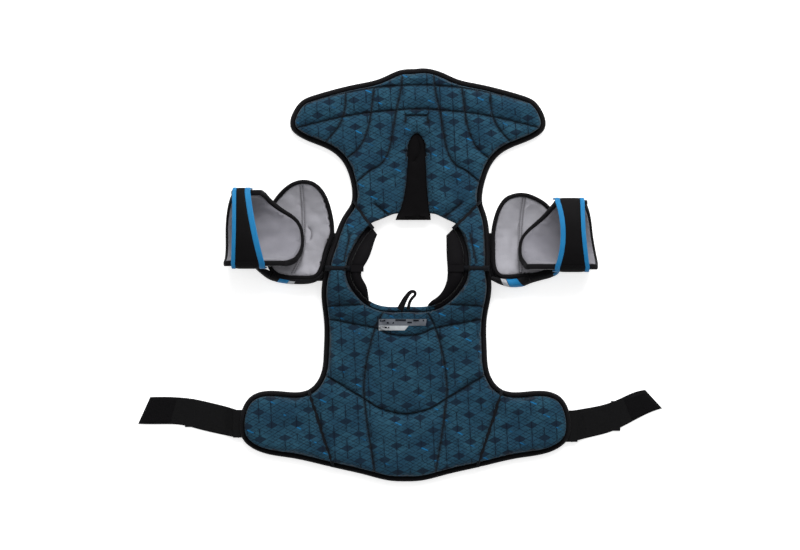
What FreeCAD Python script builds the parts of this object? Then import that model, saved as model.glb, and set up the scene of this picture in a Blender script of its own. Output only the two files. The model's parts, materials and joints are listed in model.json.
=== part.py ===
"""Ice hockey shoulder pads, opened out and lying liner side up.

Frame: +Y towards the chest panel's hem, +Z up out of the liner, +X to the right as seen from above.
Pieces named left are on the -X side and pieces named right on the +X side, as seen looking at the liner.
The origin is under the middle of the pads, on the surface that they lie on. Units are millimetres.
The pads lie with the chest panel shifted a little sideways from the back panel, as soft pads do.
"""

import math
import os

import FreeCAD
import Part

V = FreeCAD.Vector
os.makedirs("parts", exist_ok=True)

# ---------------------------------------------------------------- driving dimensions
FLAT_TOP = 28.0          # liner surface above the floor where the panels lie flat
SHOULDER_RISE = 30.0     # how much higher the liner is at the shoulder ridge
RIDGE_Y = 10.0           # the shoulder seam, where the back panel hinges
RIDGE_HALF = 95.0        # half length of the raised part
LINER_T = 12.0           # liner foam with its printed fabric
COVER_LOW = 1.5          # underside of the outer cover above the floor
BIND_W = 9.0             # binding tape seen from above
BIND_TOP, BIND_LOW = 7.0, 21.0   # binding, below the liner surface
PLATE_T = 4.0            # moulded plastic plates
COLLAR_TOP, COLLAR_LOW = 12.0, 22.0   # collarbone guards, below the liner surface
SEAM_GAP = 0.5           # room between two bodies at a fold line
SEAM_REACH = 60.0        # how far the cuts along the seams run beyond their ends
ARM_BIND_W = 5.5         # narrower tape on the caps and bicep guards
STRAP_T = 2.5            # elastic waist strap
HOOK_T = 1.5             # hook patch on a strap tip
BIG = 420.0              # half size of the cutting blocks
INSET_STEPS = 2          # points of an inset outline for each point of its outline

# The sideways shift of the centre line along Y, as (y, shift)
LAY = [(-60.0, 8.0), (10.0, 11.0), (110.0, 25.5), (150.0, 27.0)]

# Half outlines about the centre line, right side, as (half width, y)
CHEST_HALF = [(0, 310.5), (23, 309), (38, 304), (58, 295), (90, 287.5), (124.5, 279.5), (156, 270.5),
              (175.5, 261.5), (186, 248), (192, 231), (190.5, 220), (180, 209.5), (153, 197),
              (127, 184.5), (112, 169), (102, 146), (97.5, 120)]
YOKE_HALF = [(98.5, 108), (105.5, 93), (113.5, 70), (118, 47), (121.8, 24), (123.5, 8)]
BACK_HALF = [(126, -6), (127, -31), (123, -60), (121.5, -82), (122.5, -115), (124.5, -140), (131, -158),
             (145.5, -172.5), (179, -176), (217, -176), (232.5, -183), (243.5, -198), (249, -223),
             (245, -246), (229, -261), (172.5, -275), (108, -289.5), (60, -300.5), (22, -309.5), (0, -310.5)]
TORSO_HALF = CHEST_HALF + YOKE_HALF + BACK_HALF
NECK_HALF = [(0, 89), (20, 86), (35, 80.5), (48, 74.5), (60, 69), (71.5, 54), (80, 34.5), (84.5, 10),
             (83.5, -3), (78, -15), (65, -31), (50, -42), (35, -47), (0, -48)]
SLIT = [(26, 84), (19.5, 108), (16, 135), (14, 175), (11.4, 203), (0, 213)]
SLIT_SHIFT = -2.0

# Moulded plates in the covers, as half outlines, and the small sewn pieces
SPINE_HALF = [(0, -98), (26, -99), (40, -112), (44, -150), (38, -205), (30, -262), (14, -281), (0, -282)]
STERNUM_HALF = [(0, 294), (40, 290), (78, 272), (92, 240), (84, 200), (58, 160), (50, 128), (0, 128)]
LABEL = [(-32, -65.5), (40, -65.5), (38, -76), (12, -76), (6, -83), (-32, -83)]
LABEL_T = 0.6
PLACKET_T = 3.0
LOOP_PATCH = (52.0, 44.0, 1.2)   # width, length, thickness
LOOP_PATCH_Y = 236.0
KEYHOLE_R = 18.0         # room in the sternum plate round the tip of the neck slit

# Seams where the panels fold, as half lines from the outer end to the inner end
YOKE_SEAM = [(96.5, 111), (60, 69.5)]
WING_SEAM = [(145.5, -172.5), (108, -289.5)]

# Caps and bicep guards, seen from above, one outline for each side because they lie differently
SIDES = {
    "left": {
        "sign": -1,
        "cap_centre": (-186.0, 68.0),
        "cap_rim": [(-98.5, 67), (-100, 79), (-103, 95), (-108.5, 114), (-117.3, 129.6), (-129.3, 139.6),
                    (-145.5, 143), (-160.5, 139.6), (-176.3, 128.3), (-191.5, 110), (-201, 88), (-205, 60),
                    (-203, 30), (-197, 8), (-184, -3), (-160, -6), (-135, -6.5), (-123, -4.5), (-117.5, 4),
                    (-113, 20), (-106.5, 44)],
        "skirt": [(-206, 12), (-195, -4), (-182, -9), (-160, -12.8), (-140, -12.5), (-128, -10)],
        "guard_axis_y": 70.0,
        "guard_radius": 57.0,
        "guard_far_x": -262.5,
        "guard_rim": [(-262, 10), (-262, 56), (-259, 104), (-253, 121), (-243, 130), (-214, 128),
                      (-192.3, 108.2), (-176.3, 96.2), (-162.9, 86.9), (-153.5, 70.7), (-150.8, 52),
                      (-151.5, 33.2), (-157, 22), (-176.3, 15.5), (-205, 11)],
        "guard_pivot": (-148.0, 54.0),
        "band_far": [(-250.5, 134), (-249, 65), (-252.5, 4)],
        "band_near": [(-220.5, 134), (-222, 103), (-213, 65), (-203.7, 4)],
        "edging_w": (6.0, 8.5),
    },
    "right": {
        "sign": 1,
        "cap_centre": (222.0, 58.0),
        "cap_rim": [(137.5, 66), (141, 83.6), (148, 103.7), (158, 116.6), (172.5, 122.3), (189.6, 123),
                    (204, 117.3), (217, 110.5), (228.5, 99), (236, 80), (238, 52), (236, 25), (229, 8),
                    (212, 0), (190, -3), (162, -5), (150, -5), (141.5, 1), (138, 14), (137.3, 30),
                    (137.3, 48)],
        "skirt": [(233, 8), (222, -3), (205, -10), (186, -14), (164, -15.5), (149, -15)],
        "guard_axis_y": 60.0,
        "guard_radius": 52.0,
        "guard_far_x": 293.5,
        "guard_rim": [(295, 16), (292.5, 40), (290, 63.5), (285.5, 96), (277, 111), (262, 114),
                      (236, 111), (226, 98), (214, 84), (197, 68), (186.8, 53.4), (183.9, 37),
                      (184.5, 18), (192, 8.5), (215, 6)],
        "guard_pivot": (181.0, 52.0),
        "band_far": [(275.7, 118), (275.2, 66.3), (284, 0)],
        "band_near": [(230.5, 118), (238, 66.3), (229.5, 0)],
        "edging_w": (6.5, 7.5),
    },
}
CAP_R = 160.0            # outer radius of the cap's dome
CAP_SINK = 1.5           # how far the dome is flattened on the floor
CAP_SHELL_T = 3.5
CAP_LINER_T = 8.5
SKIRT_R = 9.0            # the padded roll of the cap's cover beyond its lower rim
CAP_STRAP_W = 24.0       # webbing that joins the cap to the yoke from below
CAP_STRAP_T = 2.0
CAP_STRAP_Z = 21.0       # underside of the webbing where it runs under the yoke
CAP_STRAP_OFFSET = 42.0  # from the middle of the cap towards the back panel
CAP_STRAP_RUN = 30.0     # length under the yoke, and on the shell
LINK_T = 1.2             # base of the elastic link between cap and bicep guard
LINK_W = 30.0
GUARD_SHELL_T = 3.0
GUARD_LINER_T = 7.0
GUARD_LIFT = 8.0         # the guard's far end above the floor
GUARD_TILT = 6.0         # the shoulder end is raised to sit inside the cap
GUARD_WALL_UP = 6.0      # how far the guard's side walls reach above its axis
BAND_T = 2.4
BAND_GAP = 0.6           # between the band's legs and the guard's walls
EDGING_PROUD = 0.25      # the edging tape stands proud of the band on both faces
BAND_LEG = 24.0          # how far the band's ends reach down outside the guard
BAND_ARCH = 12.0         # how far the band rises in its middle

# Waist straps seen from above: upper edge then lower edge, from the wing to the tip
STRAPS = {
    "left": {
        "upper": [(-241.9, -205), (-258, -200), (-284.5, -193.4), (-311.3, -187.6), (-335.5, -185),
                  (-376.8, -184.7)],
        "lower": [(-394.3, -223.5), (-352, -224), (-331.4, -225), (-300.6, -232.2), (-277.8, -237.6),
                  (-241.9, -244.5)],
        "fold_x": -317.0,
        "hook": [(-374, -187), (-336, -187), (-346, -221), (-389, -221)],
    },
    "right": {
        "upper": [(257.9, -205), (287.3, -200.4), (312, -194.7), (330.8, -187.4), (344.4, -181),
                  (370, -173.6)],
        "lower": [(394.7, -200.4), (361.8, -213.5), (343.2, -223.4), (319.5, -234.6), (293.4, -242),
                  (257.9, -251)],
        "fold_x": 325.0,
        "hook": [(367, -178), (337, -188), (349, -216.5), (389, -200)],
    },
}
STRAP_START_Z = 8.0      # underside of the strap where it leaves the wing
STRAP_DROP = 26.0        # it reaches the floor this far from the wing


# ---------------------------------------------------------------- helpers
def lay(y):
    """Sideways shift of the centre line at y."""
    if y <= LAY[0][0]:
        return LAY[0][1]
    for (y0, s0), (y1, s1) in zip(LAY, LAY[1:]):
        if y <= y1:
            return s0 + (s1 - s0) * (y - y0) / (y1 - y0)
    return LAY[-1][1]


def placed(half_points, side=1):
    """Half outline points as points of the object, on the right (1) or left (-1) of the centre line."""
    return [(lay(y) + side * x, y) for x, y in half_points]


def spline(points, z=0.0):
    """One smooth edge through the points."""
    vectors = [V(x, y, z) for x, y in points]
    if len(vectors) == 2:
        return Part.LineSegment(*vectors).toShape()
    curve = Part.BSplineCurve()
    curve.interpolate(vectors)
    return curve.toShape()


def prism(edges, low=-20.0, high=160.0):
    """The upright solid over a closed outline of edges drawn at z = 0."""
    face = Part.Face(Part.Wire(Part.__sortEdges__(edges)))
    face.translate(V(0, 0, low))
    return solid(face.extrude(V(0, 0, high - low)))


def polygon(points, low=-20.0, high=160.0):
    """The upright solid over straight sides."""
    vectors = [V(x, y, low) for x, y in points]
    return Part.Face(Part.makePolygon(vectors + vectors[:1])).extrude(V(0, 0, high - low))


def closed_spline(points):
    """One closed smooth edge."""
    curve = Part.BSplineCurve()
    curve.interpolate([V(x, y, 0) for x, y in points], PeriodicFlag=True)
    return [curve.toShape()]


def solid(shape):
    """A shape as outward-facing solids."""
    solids = []
    for one in shape.Solids:
        if one.Volume < 0:
            one.reverse()
        solids.append(one)
    return solids[0] if len(solids) == 1 else Part.makeCompound(solids)


def inset(edges, distance):
    """The face inside a closed smooth edge, drawn in by a distance, or drawn out where it is negative."""
    curve = edges[0].Curve
    knots = curve.getKnots()
    stops = []
    for start, end in zip(knots, knots[1:]):
        stops += [start + (end - start) * i / INSET_STEPS for i in range(INSET_STEPS)]
    line = [curve.value(t) for t in stops]
    turn = sum(a.x * b.y - b.x * a.y for a, b in zip(line, line[1:] + line[:1]))
    side = distance * math.copysign(1.0, turn)
    moved = []
    for stop, point in zip(stops, line):
        along = curve.tangent(stop)[0]
        moved.append((point.x - side * along.y, point.y + side * along.x))
    return face_of(closed_spline(moved))


def face_of(edges):
    return Part.Face(Part.Wire(edges))


def upright(face, low=-20.0, high=160.0):
    moved = face.copy()
    moved.translate(V(0, 0, low))
    return moved.extrude(V(0, 0, high - low))


def liner_top(y):
    """Height of the liner's surface at y."""
    t = (y - RIDGE_Y) / RIDGE_HALF
    if abs(t) >= 1:
        return FLAT_TOP
    return FLAT_TOP + SHOULDER_RISE * math.cos(t * math.pi / 2) ** 2


def profile_edge(below, x):
    """The liner surface's side view, moved down by below, at one x."""
    steps = 12
    ys = [RIDGE_Y + RIDGE_HALF * (2 * i / steps - 1) for i in range(steps + 1)]
    curve = Part.BSplineCurve()
    curve.interpolate([V(x, y, liner_top(y) - below) for y in ys],
                      InitialTangent=V(0, 1, 0), FinalTangent=V(0, 1, 0))
    level = FLAT_TOP - below
    before = Part.LineSegment(V(x, -BIG, level), V(x, ys[0], level)).toShape()
    after = Part.LineSegment(V(x, ys[-1], level), V(x, BIG, level)).toShape()
    return [before, curve.toShape(), after]


def layer(top, bottom):
    """Everything between two depths below the liner surface."""
    x = -BIG
    upper, lower = profile_edge(top, x), profile_edge(bottom, x)
    sides = []
    for y in (-BIG, BIG):
        sides.append(Part.LineSegment(V(x, y, FLAT_TOP - bottom), V(x, y, FLAT_TOP - top)).toShape())
    face = Part.Face(Part.Wire(Part.__sortEdges__(upper + lower + sides)))
    return face.extrude(V(2 * BIG, 0, 0))


def save(name, shape):
    """Writes one node and says what is in it."""
    shape = solid(shape.removeSplitter() if hasattr(shape, "removeSplitter") else shape)
    count = len(shape.Solids)
    good = shape.isValid() and all(s.isClosed() for s in shape.Solids)
    shape.exportStep(os.path.join("parts", name + ".step"))
    print(f"{name:28s} solids {count} valid {good} volume {shape.Volume / 1000:9.2f} cm3")
    MADE[name] = shape


MADE = {}


# ---------------------------------------------------------------- torso panels
def both_halves(half_points):
    """A closed smooth edge from a half outline that starts and ends on the centre line."""
    return closed_spline(placed(half_points) + placed(half_points[-2:0:-1], -1))


def neck_face():
    return face_of(both_halves(NECK_HALF))


def seam_line(half_line, side):
    """Two points along a seam, well beyond its ends, the outer end first."""
    (ax, ay), (bx, by) = placed(half_line, side)
    length = math.hypot(bx - ax, by - ay)
    ux = (bx - ax) / length * SEAM_REACH
    uy = (by - ay) / length * SEAM_REACH
    return [(ax - ux, ay - uy), (bx + ux, by + uy)]


def torso_regions():
    """The plan area of each torso body, with room between them."""
    half = SEAM_GAP / 2
    ridge_low, ridge_high = RIDGE_Y - half, RIDGE_Y + half
    middle = lay(0)
    yokes, chest_cuts, wings = {}, [], {}
    for side in (1, -1):
        outer, inner = seam_line(YOKE_SEAM, side)
        yokes[side] = polygon([(middle, ridge_high), (side * BIG, ridge_high), (side * BIG, outer[1] - half),
                               (outer[0], outer[1] - half), (inner[0], inner[1] - half),
                               (middle, inner[1] - half)])
        chest_cuts.append([(outer[0], outer[1] + half), (inner[0], inner[1] + half)])
        top, bottom = seam_line(WING_SEAM, side)
        wings[side] = polygon([(top[0] + side * half, top[1]), (side * BIG, top[1]), (side * BIG, -BIG),
                               (bottom[0] + side * half, bottom[1])])
    (r_out, r_in), (l_out, l_in) = chest_cuts
    chest = polygon([(-BIG, BIG), (BIG, BIG), (BIG, r_out[1]), r_out, r_in, l_in, l_out, (-BIG, l_out[1])])
    back = polygon([(-BIG, -BIG), (BIG, -BIG), (BIG, ridge_low), (-BIG, ridge_low)])
    for side in (1, -1):
        top, bottom = seam_line(WING_SEAM, side)
        back = back.cut(polygon([(top[0] - side * half, top[1]), (side * BIG, top[1]), (side * BIG, -BIG),
                                 (bottom[0] - side * half, bottom[1])]))
    return {"back": back, "chest": chest, "left_yoke": yokes[-1], "right_yoke": yokes[1],
            "left_wing": wings[-1], "right_wing": wings[1]}


def slit_prism():
    """The neck slit in the chest liner, open at the neck edge."""
    right = [(lay(y) + SLIT_SHIFT + x, y) for x, y in SLIT]
    left = [(lay(y) + SLIT_SHIFT - x, y) for x, y in SLIT]
    mouth = Part.LineSegment(V(*left[0], 0), V(*right[0], 0)).toShape()
    tip = spline(right[-3:] + left[-2:-4:-1])
    return prism([spline(right[:-2]), tip, spline(left[:-2]), mouth])


def plate(points, mirror_shift):
    """A moulded plate on the outside of a panel, from half outline points about a centre line."""
    right = [(mirror_shift + x, y) for x, y in points]
    left = [(mirror_shift - x, y) for x, y in points]
    return prism([spline(right), spline(left)], 0.0, PLATE_T)


def make_torso():
    outer, neck = both_halves(TORSO_HALF), both_halves(NECK_HALF)
    full = upright(face_of(outer)).cut(upright(face_of(neck)))
    core = upright(inset(outer, BIND_W)).cut(upright(inset(neck, -BIND_W)))
    regions = torso_regions()
    slit = slit_prism()
    liner, binding = layer(0, LINER_T), layer(BIND_TOP, BIND_LOW)
    cover = layer(LINER_T, FLAT_TOP - COVER_LOW)
    spine = plate(SPINE_HALF, lay(-100))
    sternum = plate(STERNUM_HALF, lay(200)).cut(slit_keyhole())
    for name, region in regions.items():
        area = core.common(region)
        pad = area.common(liner)
        shell = area.common(cover)
        ring = full.cut(core).common(region).common(binding)
        if name == "chest":
            pad, ring = pad.cut(slit), ring.cut(slit)
            shell = shell.cut(sternum)
        if name == "back":
            shell = shell.cut(spine)
        save(name + "_liner_pad", pad)
        save(name + "_outer_cover", shell)
        save(name + "_edge_binding", ring)
    save("spine_plate", spine)
    save("sternum_plate", sternum)
    placket = full.common(slit).common(regions["chest"]).common(layer(LINER_T - PLACKET_T, LINER_T))
    save("neck_slit_placket", placket)
    for side, sign in (("left", -1), ("right", 1)):
        x = lay(230) + sign * 128
        width, length, thickness = LOOP_PATCH
        corner = V(x - width / 2, LOOP_PATCH_Y - length / 2, COVER_LOW - thickness)
        save(side + "_loop_patch", Part.makeBox(width, length, thickness, corner))
    save("size_label", polygon(LABEL).common(layer(-LABEL_T, 0)))
    return full


def slit_keyhole():
    """Room in the sternum plate under the neck slit, so that the slit can spread."""
    x = lay(200) + SLIT_SHIFT
    low, tip, deep, start = 115.0, 205.0, 20.0, -5.0
    slot = Part.makeBox(2 * KEYHOLE_R, tip - low, deep, V(x - KEYHOLE_R, low, start))
    return slot.fuse(Part.makeCylinder(KEYHOLE_R, deep, V(x, tip, start)))


def make_collar(full):
    """The dark collarbone guards that line the sides of the neck opening, in two pieces each side."""
    inner = {
        "left": [(-24, 78), (-29, 70), (-37, 54), (-48, 23), (-58, RIDGE_Y - 11), (-51, -15), (-47.5, -30),
                 (-45, -52)],
        "right": [(63, 78), (67.7, 70), (69.5, 54), (70.2, 23), (70.2, -8), (65, -21.8), (57, -32), (46, -40),
                  (40, -52)],
    }
    out = {"left": -95.0, "right": 120.0}
    half = SEAM_GAP / 2
    regions = torso_regions()
    for side, points in inner.items():
        wall = out[side]
        edge = spline(points)
        box = [(wall, points[-1][1]), (wall, points[0][1])]
        rest = [Part.LineSegment(V(*points[-1], 0), V(*box[0], 0)).toShape(),
                Part.LineSegment(V(*box[0], 0), V(*box[1], 0)).toShape(),
                Part.LineSegment(V(*box[1], 0), V(*points[0], 0)).toShape()]
        area = prism([edge] + rest).cut(full).common(layer(COLLAR_TOP, COLLAR_LOW))
        neck_only = area.common(upright(neck_face()))
        low = Part.makeBox(2 * BIG, BIG, 300, V(-BIG, RIDGE_Y - half - BIG, -50))
        save(side + "_collar_guard_lower", neck_only.common(low))
        save(side + "_collar_guard_upper", neck_only.common(regions[side + "_yoke"]))


def make_hanger(full):
    """The narrow hanging loop at the back of the neck."""
    z = liner_top(-46) - 14.0
    leg, radius, tape = 12.0, 7.0, 2.0
    x = 3.0
    lean = 6.0
    curve = Part.BSplineCurve()
    curve.interpolate([V(x - radius, -52, z), V(x - radius + lean / 2, -50 + leg / 2, z),
                       V(x - radius + lean, -50 + leg, z), V(x + lean + 1.5, -50 + leg + radius + 2, z),
                       V(x + radius + lean, -50 + leg, z), V(x + radius + lean / 2, -50 + leg / 2, z),
                       V(x + radius, -52, z)])
    path = Part.Wire([curve.toShape()])
    section = Part.Wire(Part.makeCircle(tape, curve.value(0), curve.tangent(0)[0]))
    loop = path.makePipeShell([section], True, True)
    save("hanger_loop", loop.cut(full))


# ---------------------------------------------------------------- shoulder caps
def cap_ball(radius, centre):
    return Part.makeSphere(radius, V(centre[0], centre[1], CAP_R - CAP_SINK))


def make_cap(side, data):
    rim = closed_spline(data["cap_rim"])
    whole = upright(Part.Face(Part.Wire(rim)), 0.0)
    inner = upright(inset(rim, ARM_BIND_W), 0.0)
    depths = (0, CAP_SHELL_T, CAP_SHELL_T + CAP_LINER_T)
    balls = [cap_ball(CAP_R - depth, data["cap_centre"]) for depth in depths]
    shell = whole.common(balls[0]).cut(balls[1])
    foam = whole.common(balls[1]).cut(balls[2])
    save(side + "_cap_shell", shell)
    save(side + "_cap_liner", foam.common(inner))
    save(side + "_cap_binding", foam.cut(inner))
    save(side + "_cap_skirt", cap_skirt(data, whole))
    save(side + "_cap_strap", cap_strap(data, balls[0]))
    save(side + "_bicep_link", bicep_link(data))


def cap_height(data, x, y, depth):
    """Height of a layer of the cap's dome, depth inside its outer surface."""
    cx, cy = data["cap_centre"]
    return CAP_R - CAP_SINK - math.sqrt((CAP_R - depth) ** 2 - (x - cx) ** 2 - (y - cy) ** 2)


def cap_skirt(data, whole):
    """The padded wall of the cap's outer cover that shows beyond its lower rim."""
    middle = (CAP_SHELL_T + CAP_LINER_T) / 2
    points = []
    for x, y in data["skirt"]:
        points.append(V(x, y + SKIRT_R, max(cap_height(data, x, y + SKIRT_R, middle), SKIRT_R + 1.0)))
    curve = Part.BSplineCurve()
    curve.interpolate(points)
    path = Part.Wire([curve.toShape()])
    section = Part.Wire(Part.makeCircle(SKIRT_R, points[0], curve.tangent(0)[0]))
    roll = path.makePipeShell([section], True, True)
    return solid(roll).cut(whole)


def cap_strap(data, ball):
    """Webbing under the cap's yoke side: it leaves the shell and runs under the yoke."""
    sign, (cx, cy) = data["sign"], data["cap_centre"]
    y, top = cy - CAP_STRAP_OFFSET - CAP_STRAP_W / 2, CAP_STRAP_Z + CAP_STRAP_T
    reach = math.sqrt(CAP_R ** 2 - (CAP_R - CAP_SINK - top) ** 2 - CAP_STRAP_OFFSET ** 2)
    contact = cx - sign * reach

    def block(outboard, inboard, low):
        start, end = sorted((contact + sign * outboard, contact - sign * inboard))
        return Part.makeBox(end - start, CAP_STRAP_W, top - low, V(start, y, low))

    wrap = Part.makeSphere(CAP_R + CAP_STRAP_T, V(cx, cy, CAP_R - CAP_SINK)).cut(ball)
    run = block(8.0, CAP_STRAP_RUN, CAP_STRAP_Z).cut(ball)
    return run.fuse(block(CAP_STRAP_RUN, 4.0, 0.0).common(wrap))


def bicep_link(data):
    """The sewn base of the elastic link, on the cap's liner under the guard's shoulder end."""
    depth = CAP_SHELL_T + CAP_LINER_T
    outer = cap_ball(CAP_R - depth, data["cap_centre"])
    inner = cap_ball(CAP_R - depth - LINK_T, data["cap_centre"])
    x, y = data["guard_pivot"]
    base = Part.makeBox(36.0, LINK_W, 60.0, V(x - 18.0, y - LINK_W / 2, 0))
    return base.common(outer).cut(inner)


# ---------------------------------------------------------------- bicep guards and their bands
def guard_frame(data):
    """The pivot point and angle that lift the guard's shoulder end."""
    return V(data["guard_far_x"], 0, GUARD_LIFT), V(0, 1, 0), data["sign"] * GUARD_TILT


def tube(radius, data):
    """A round bar along the arm, where the guard's axis is before it is tilted."""
    centre_z = GUARD_LIFT + data["guard_radius"]
    return Part.makeCylinder(radius, 2 * BIG, V(-BIG, data["guard_axis_y"], centre_z), V(1, 0, 0))


def make_guard(side, data):
    top = GUARD_LIFT + data["guard_radius"] + GUARD_WALL_UP
    rim = closed_spline(before_tilt(data["guard_rim"], data, top))
    whole = upright(Part.Face(Part.Wire(rim)), 0.0, top)
    inner = upright(inset(rim, ARM_BIND_W), 0.0, top)
    outer_r = data["guard_radius"]
    wall_r = outer_r - GUARD_SHELL_T
    bars = [tube(r, data) for r in (outer_r, wall_r, wall_r - GUARD_LINER_T)]
    room = open_top(data, top)
    shell = whole.common(bars[0]).cut(bars[1]).cut(room)
    foam = whole.common(bars[1]).cut(bars[2]).cut(room)
    pieces = {"_bicep_shell": shell, "_bicep_liner": foam.common(inner), "_bicep_binding": foam.cut(inner)}
    for suffix, piece in pieces.items():
        save(side + suffix, tilted(piece, data))


def before_tilt(points, data, z):
    """Plan points at height z, moved inwards so that the tilt brings them to where they are given."""
    return moved_x(points, -data["sign"] * z * math.sin(math.radians(GUARD_TILT)))


def open_top(data, top):
    """The space above the guard's rims, where the tube would close over the arm."""
    half = data["guard_radius"] - GUARD_SHELL_T - GUARD_LINER_T - 1.0
    low = GUARD_LIFT + data["guard_radius"]
    return Part.makeBox(2 * BIG, 2 * half, top - low + 40, V(-BIG, data["guard_axis_y"] - half, low))


def tilted(shape, data):
    point, axis, angle = guard_frame(data)
    moved = shape.copy()
    moved.rotate(point, axis, angle)
    return moved


def knee_z(data):
    """Height of the band's bends, just over the guard's walls."""
    return GUARD_LIFT + data["guard_radius"] + GUARD_WALL_UP + 1.0


def band_sheet(data, proud=0.0):
    """The band's bent sheet, along the whole arm: two legs and an arch over the arm."""
    outer = data["guard_radius"] + BAND_GAP + BAND_T + proud
    inner = data["guard_radius"] + BAND_GAP - proud
    y0, z_knee = data["guard_axis_y"], knee_z(data)

    def bent(half, lift):
        low, crown = z_knee - BAND_LEG, z_knee + BAND_ARCH + lift
        left, right = y0 - half, y0 + half
        return (V(-BIG, left, low), V(-BIG, left, z_knee), V(-BIG, y0, crown), V(-BIG, right, z_knee),
                V(-BIG, right, low))

    a, b = bent(outer, BAND_T + proud), bent(inner, -proud)
    edges = [Part.LineSegment(a[0], a[1]).toShape(), Part.Arc(a[1], a[2], a[3]).toShape(),
             Part.LineSegment(a[3], a[4]).toShape(), Part.LineSegment(a[4], b[4]).toShape(),
             Part.LineSegment(b[4], b[3]).toShape(), Part.Arc(b[3], b[2], b[1]).toShape(),
             Part.LineSegment(b[1], b[0]).toShape(), Part.LineSegment(b[0], a[0]).toShape()]
    return Part.Face(Part.Wire(edges)).extrude(V(2 * BIG, 0, 0))


def strip(first, second):
    """The upright solid between two lines that run the same way."""
    joins = [Part.LineSegment(V(*first[i], 0), V(*second[i], 0)).toShape() for i in (0, -1)]
    return prism([spline(first), spline(second)] + joins)


def moved_x(points, by):
    return [(x + by, y) for x, y in points]


def make_band(side, data):
    """The band opens at the bend nearest the back panel, where its sewn end stays on the guard."""
    top = knee_z(data)
    far, near = before_tilt(data["band_far"], data, top), before_tilt(data["band_near"], data, top)
    inward = -data["sign"]
    far_w, near_w = data["edging_w"]
    far_in, near_in = moved_x(far, inward * far_w), moved_x(near, -inward * near_w)
    cut_y = data["guard_axis_y"] - data["guard_radius"] + 10.0
    leg = Part.makeBox(2 * BIG, BIG, BIG, V(-BIG, cut_y - BIG, top - SEAM_GAP / 2 - BIG))
    gap = Part.makeBox(2 * BIG, BIG, SEAM_GAP, V(-BIG, cut_y - BIG, top - SEAM_GAP / 2))
    sheet = band_sheet(data)
    thick = band_sheet(data, EDGING_PROUD)
    save(side + "_arm_band_anchor", tilted(sheet.common(leg).common(strip(far, near)), data))
    free = sheet.cut(leg).cut(gap)
    free_thick = thick.cut(leg).cut(gap)
    save(side + "_arm_band", tilted(free.common(strip(far_in, near_in)), data))
    far_edging = free_thick.common(strip(far, far_in))
    near_edging = free_thick.common(strip(near_in, near))
    save(side + "_arm_band_edging", tilted(Part.makeCompound([far_edging, near_edging]), data))


# ---------------------------------------------------------------- waist straps
def strap_sheet(side, thickness, above=0.0):
    """The strap's bent sheet in side view: it leaves the wing's edge and comes down to the floor."""
    sign = -1 if side == "left" else 1
    start = STRAPS[side]["upper"][0][0]
    base = [(start, STRAP_START_Z), (start + sign * 7, STRAP_START_Z - 1.4), (start + sign * 19, 1.4),
            (start + sign * STRAP_DROP, 0.0), (sign * BIG, 0.0)]

    def line(lift):
        points = [V(x, -BIG, z + lift) for x, z in base]
        curve = Part.BSplineCurve()
        curve.interpolate(points[:4], FinalTangent=V(sign, 0, 0))
        return [curve.toShape(), Part.LineSegment(points[3], points[4]).toShape()], points

    low, low_points = line(above)
    high, high_points = line(above + thickness)
    ends = [Part.LineSegment(low_points[i], high_points[i]).toShape() for i in (0, -1)]
    return Part.Face(Part.Wire(Part.__sortEdges__(low + high + ends))).extrude(V(0, 2 * BIG, 0))


def make_strap(side, data):
    upper, lower = data["upper"], data["lower"]
    tip_end = Part.LineSegment(V(*upper[-1], 0), V(*lower[0], 0)).toShape()
    wing_end = Part.LineSegment(V(*lower[-1], 0), V(*upper[0], 0)).toShape()
    plan = prism([spline(upper), tip_end, spline(lower), wing_end])
    sheet = strap_sheet(side, STRAP_T).common(plan)
    half, fold = SEAM_GAP / 2, data["fold_x"]
    near = Part.makeBox(BIG, 2 * BIG, 200, V(fold + half if side == "left" else fold - half - BIG, -BIG, -50))
    far = Part.makeBox(BIG, 2 * BIG, 200, V(fold - half - BIG if side == "left" else fold + half, -BIG, -50))
    save(side + "_waist_strap", sheet.common(near))
    save(side + "_strap_tip", sheet.common(far))
    save(side + "_strap_hook", polygon(data["hook"], STRAP_T, STRAP_T + HOOK_T))


def main():
    full = make_torso()
    make_collar(full)
    make_hanger(full)
    for side, data in SIDES.items():
        make_cap(side, data)
        make_guard(side, data)
        make_band(side, data)
    for side, data in STRAPS.items():
        make_strap(side, data)
    print(len(MADE), "nodes")


main()
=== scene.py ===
"""Looks of the opened-out hockey shoulder pads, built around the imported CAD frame. Everything is in metres."""
import json
import math

import bpy
import numpy as np
from mathutils import Matrix, Vector, kdtree
from mathutils.bvhtree import BVHTree
from mathutils.geometry import delaunay_2d_cdt


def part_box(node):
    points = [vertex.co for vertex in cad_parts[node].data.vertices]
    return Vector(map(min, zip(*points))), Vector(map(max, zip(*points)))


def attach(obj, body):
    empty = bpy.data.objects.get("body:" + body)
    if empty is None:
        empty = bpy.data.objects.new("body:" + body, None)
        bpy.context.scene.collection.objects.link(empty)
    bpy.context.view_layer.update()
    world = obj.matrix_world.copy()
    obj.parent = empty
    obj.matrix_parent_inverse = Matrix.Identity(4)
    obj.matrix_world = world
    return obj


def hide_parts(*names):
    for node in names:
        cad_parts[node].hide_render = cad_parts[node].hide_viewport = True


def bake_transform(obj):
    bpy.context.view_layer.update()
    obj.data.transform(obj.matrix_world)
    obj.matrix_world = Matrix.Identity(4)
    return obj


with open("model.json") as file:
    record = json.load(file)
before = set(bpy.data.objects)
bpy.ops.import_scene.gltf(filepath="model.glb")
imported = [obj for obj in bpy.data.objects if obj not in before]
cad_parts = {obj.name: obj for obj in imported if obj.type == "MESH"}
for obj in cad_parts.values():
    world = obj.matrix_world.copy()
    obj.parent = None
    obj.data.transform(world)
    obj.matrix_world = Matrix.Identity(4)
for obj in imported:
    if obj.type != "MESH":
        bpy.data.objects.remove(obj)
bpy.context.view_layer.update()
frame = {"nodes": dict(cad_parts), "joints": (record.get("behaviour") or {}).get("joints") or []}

MM = 0.001
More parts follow.
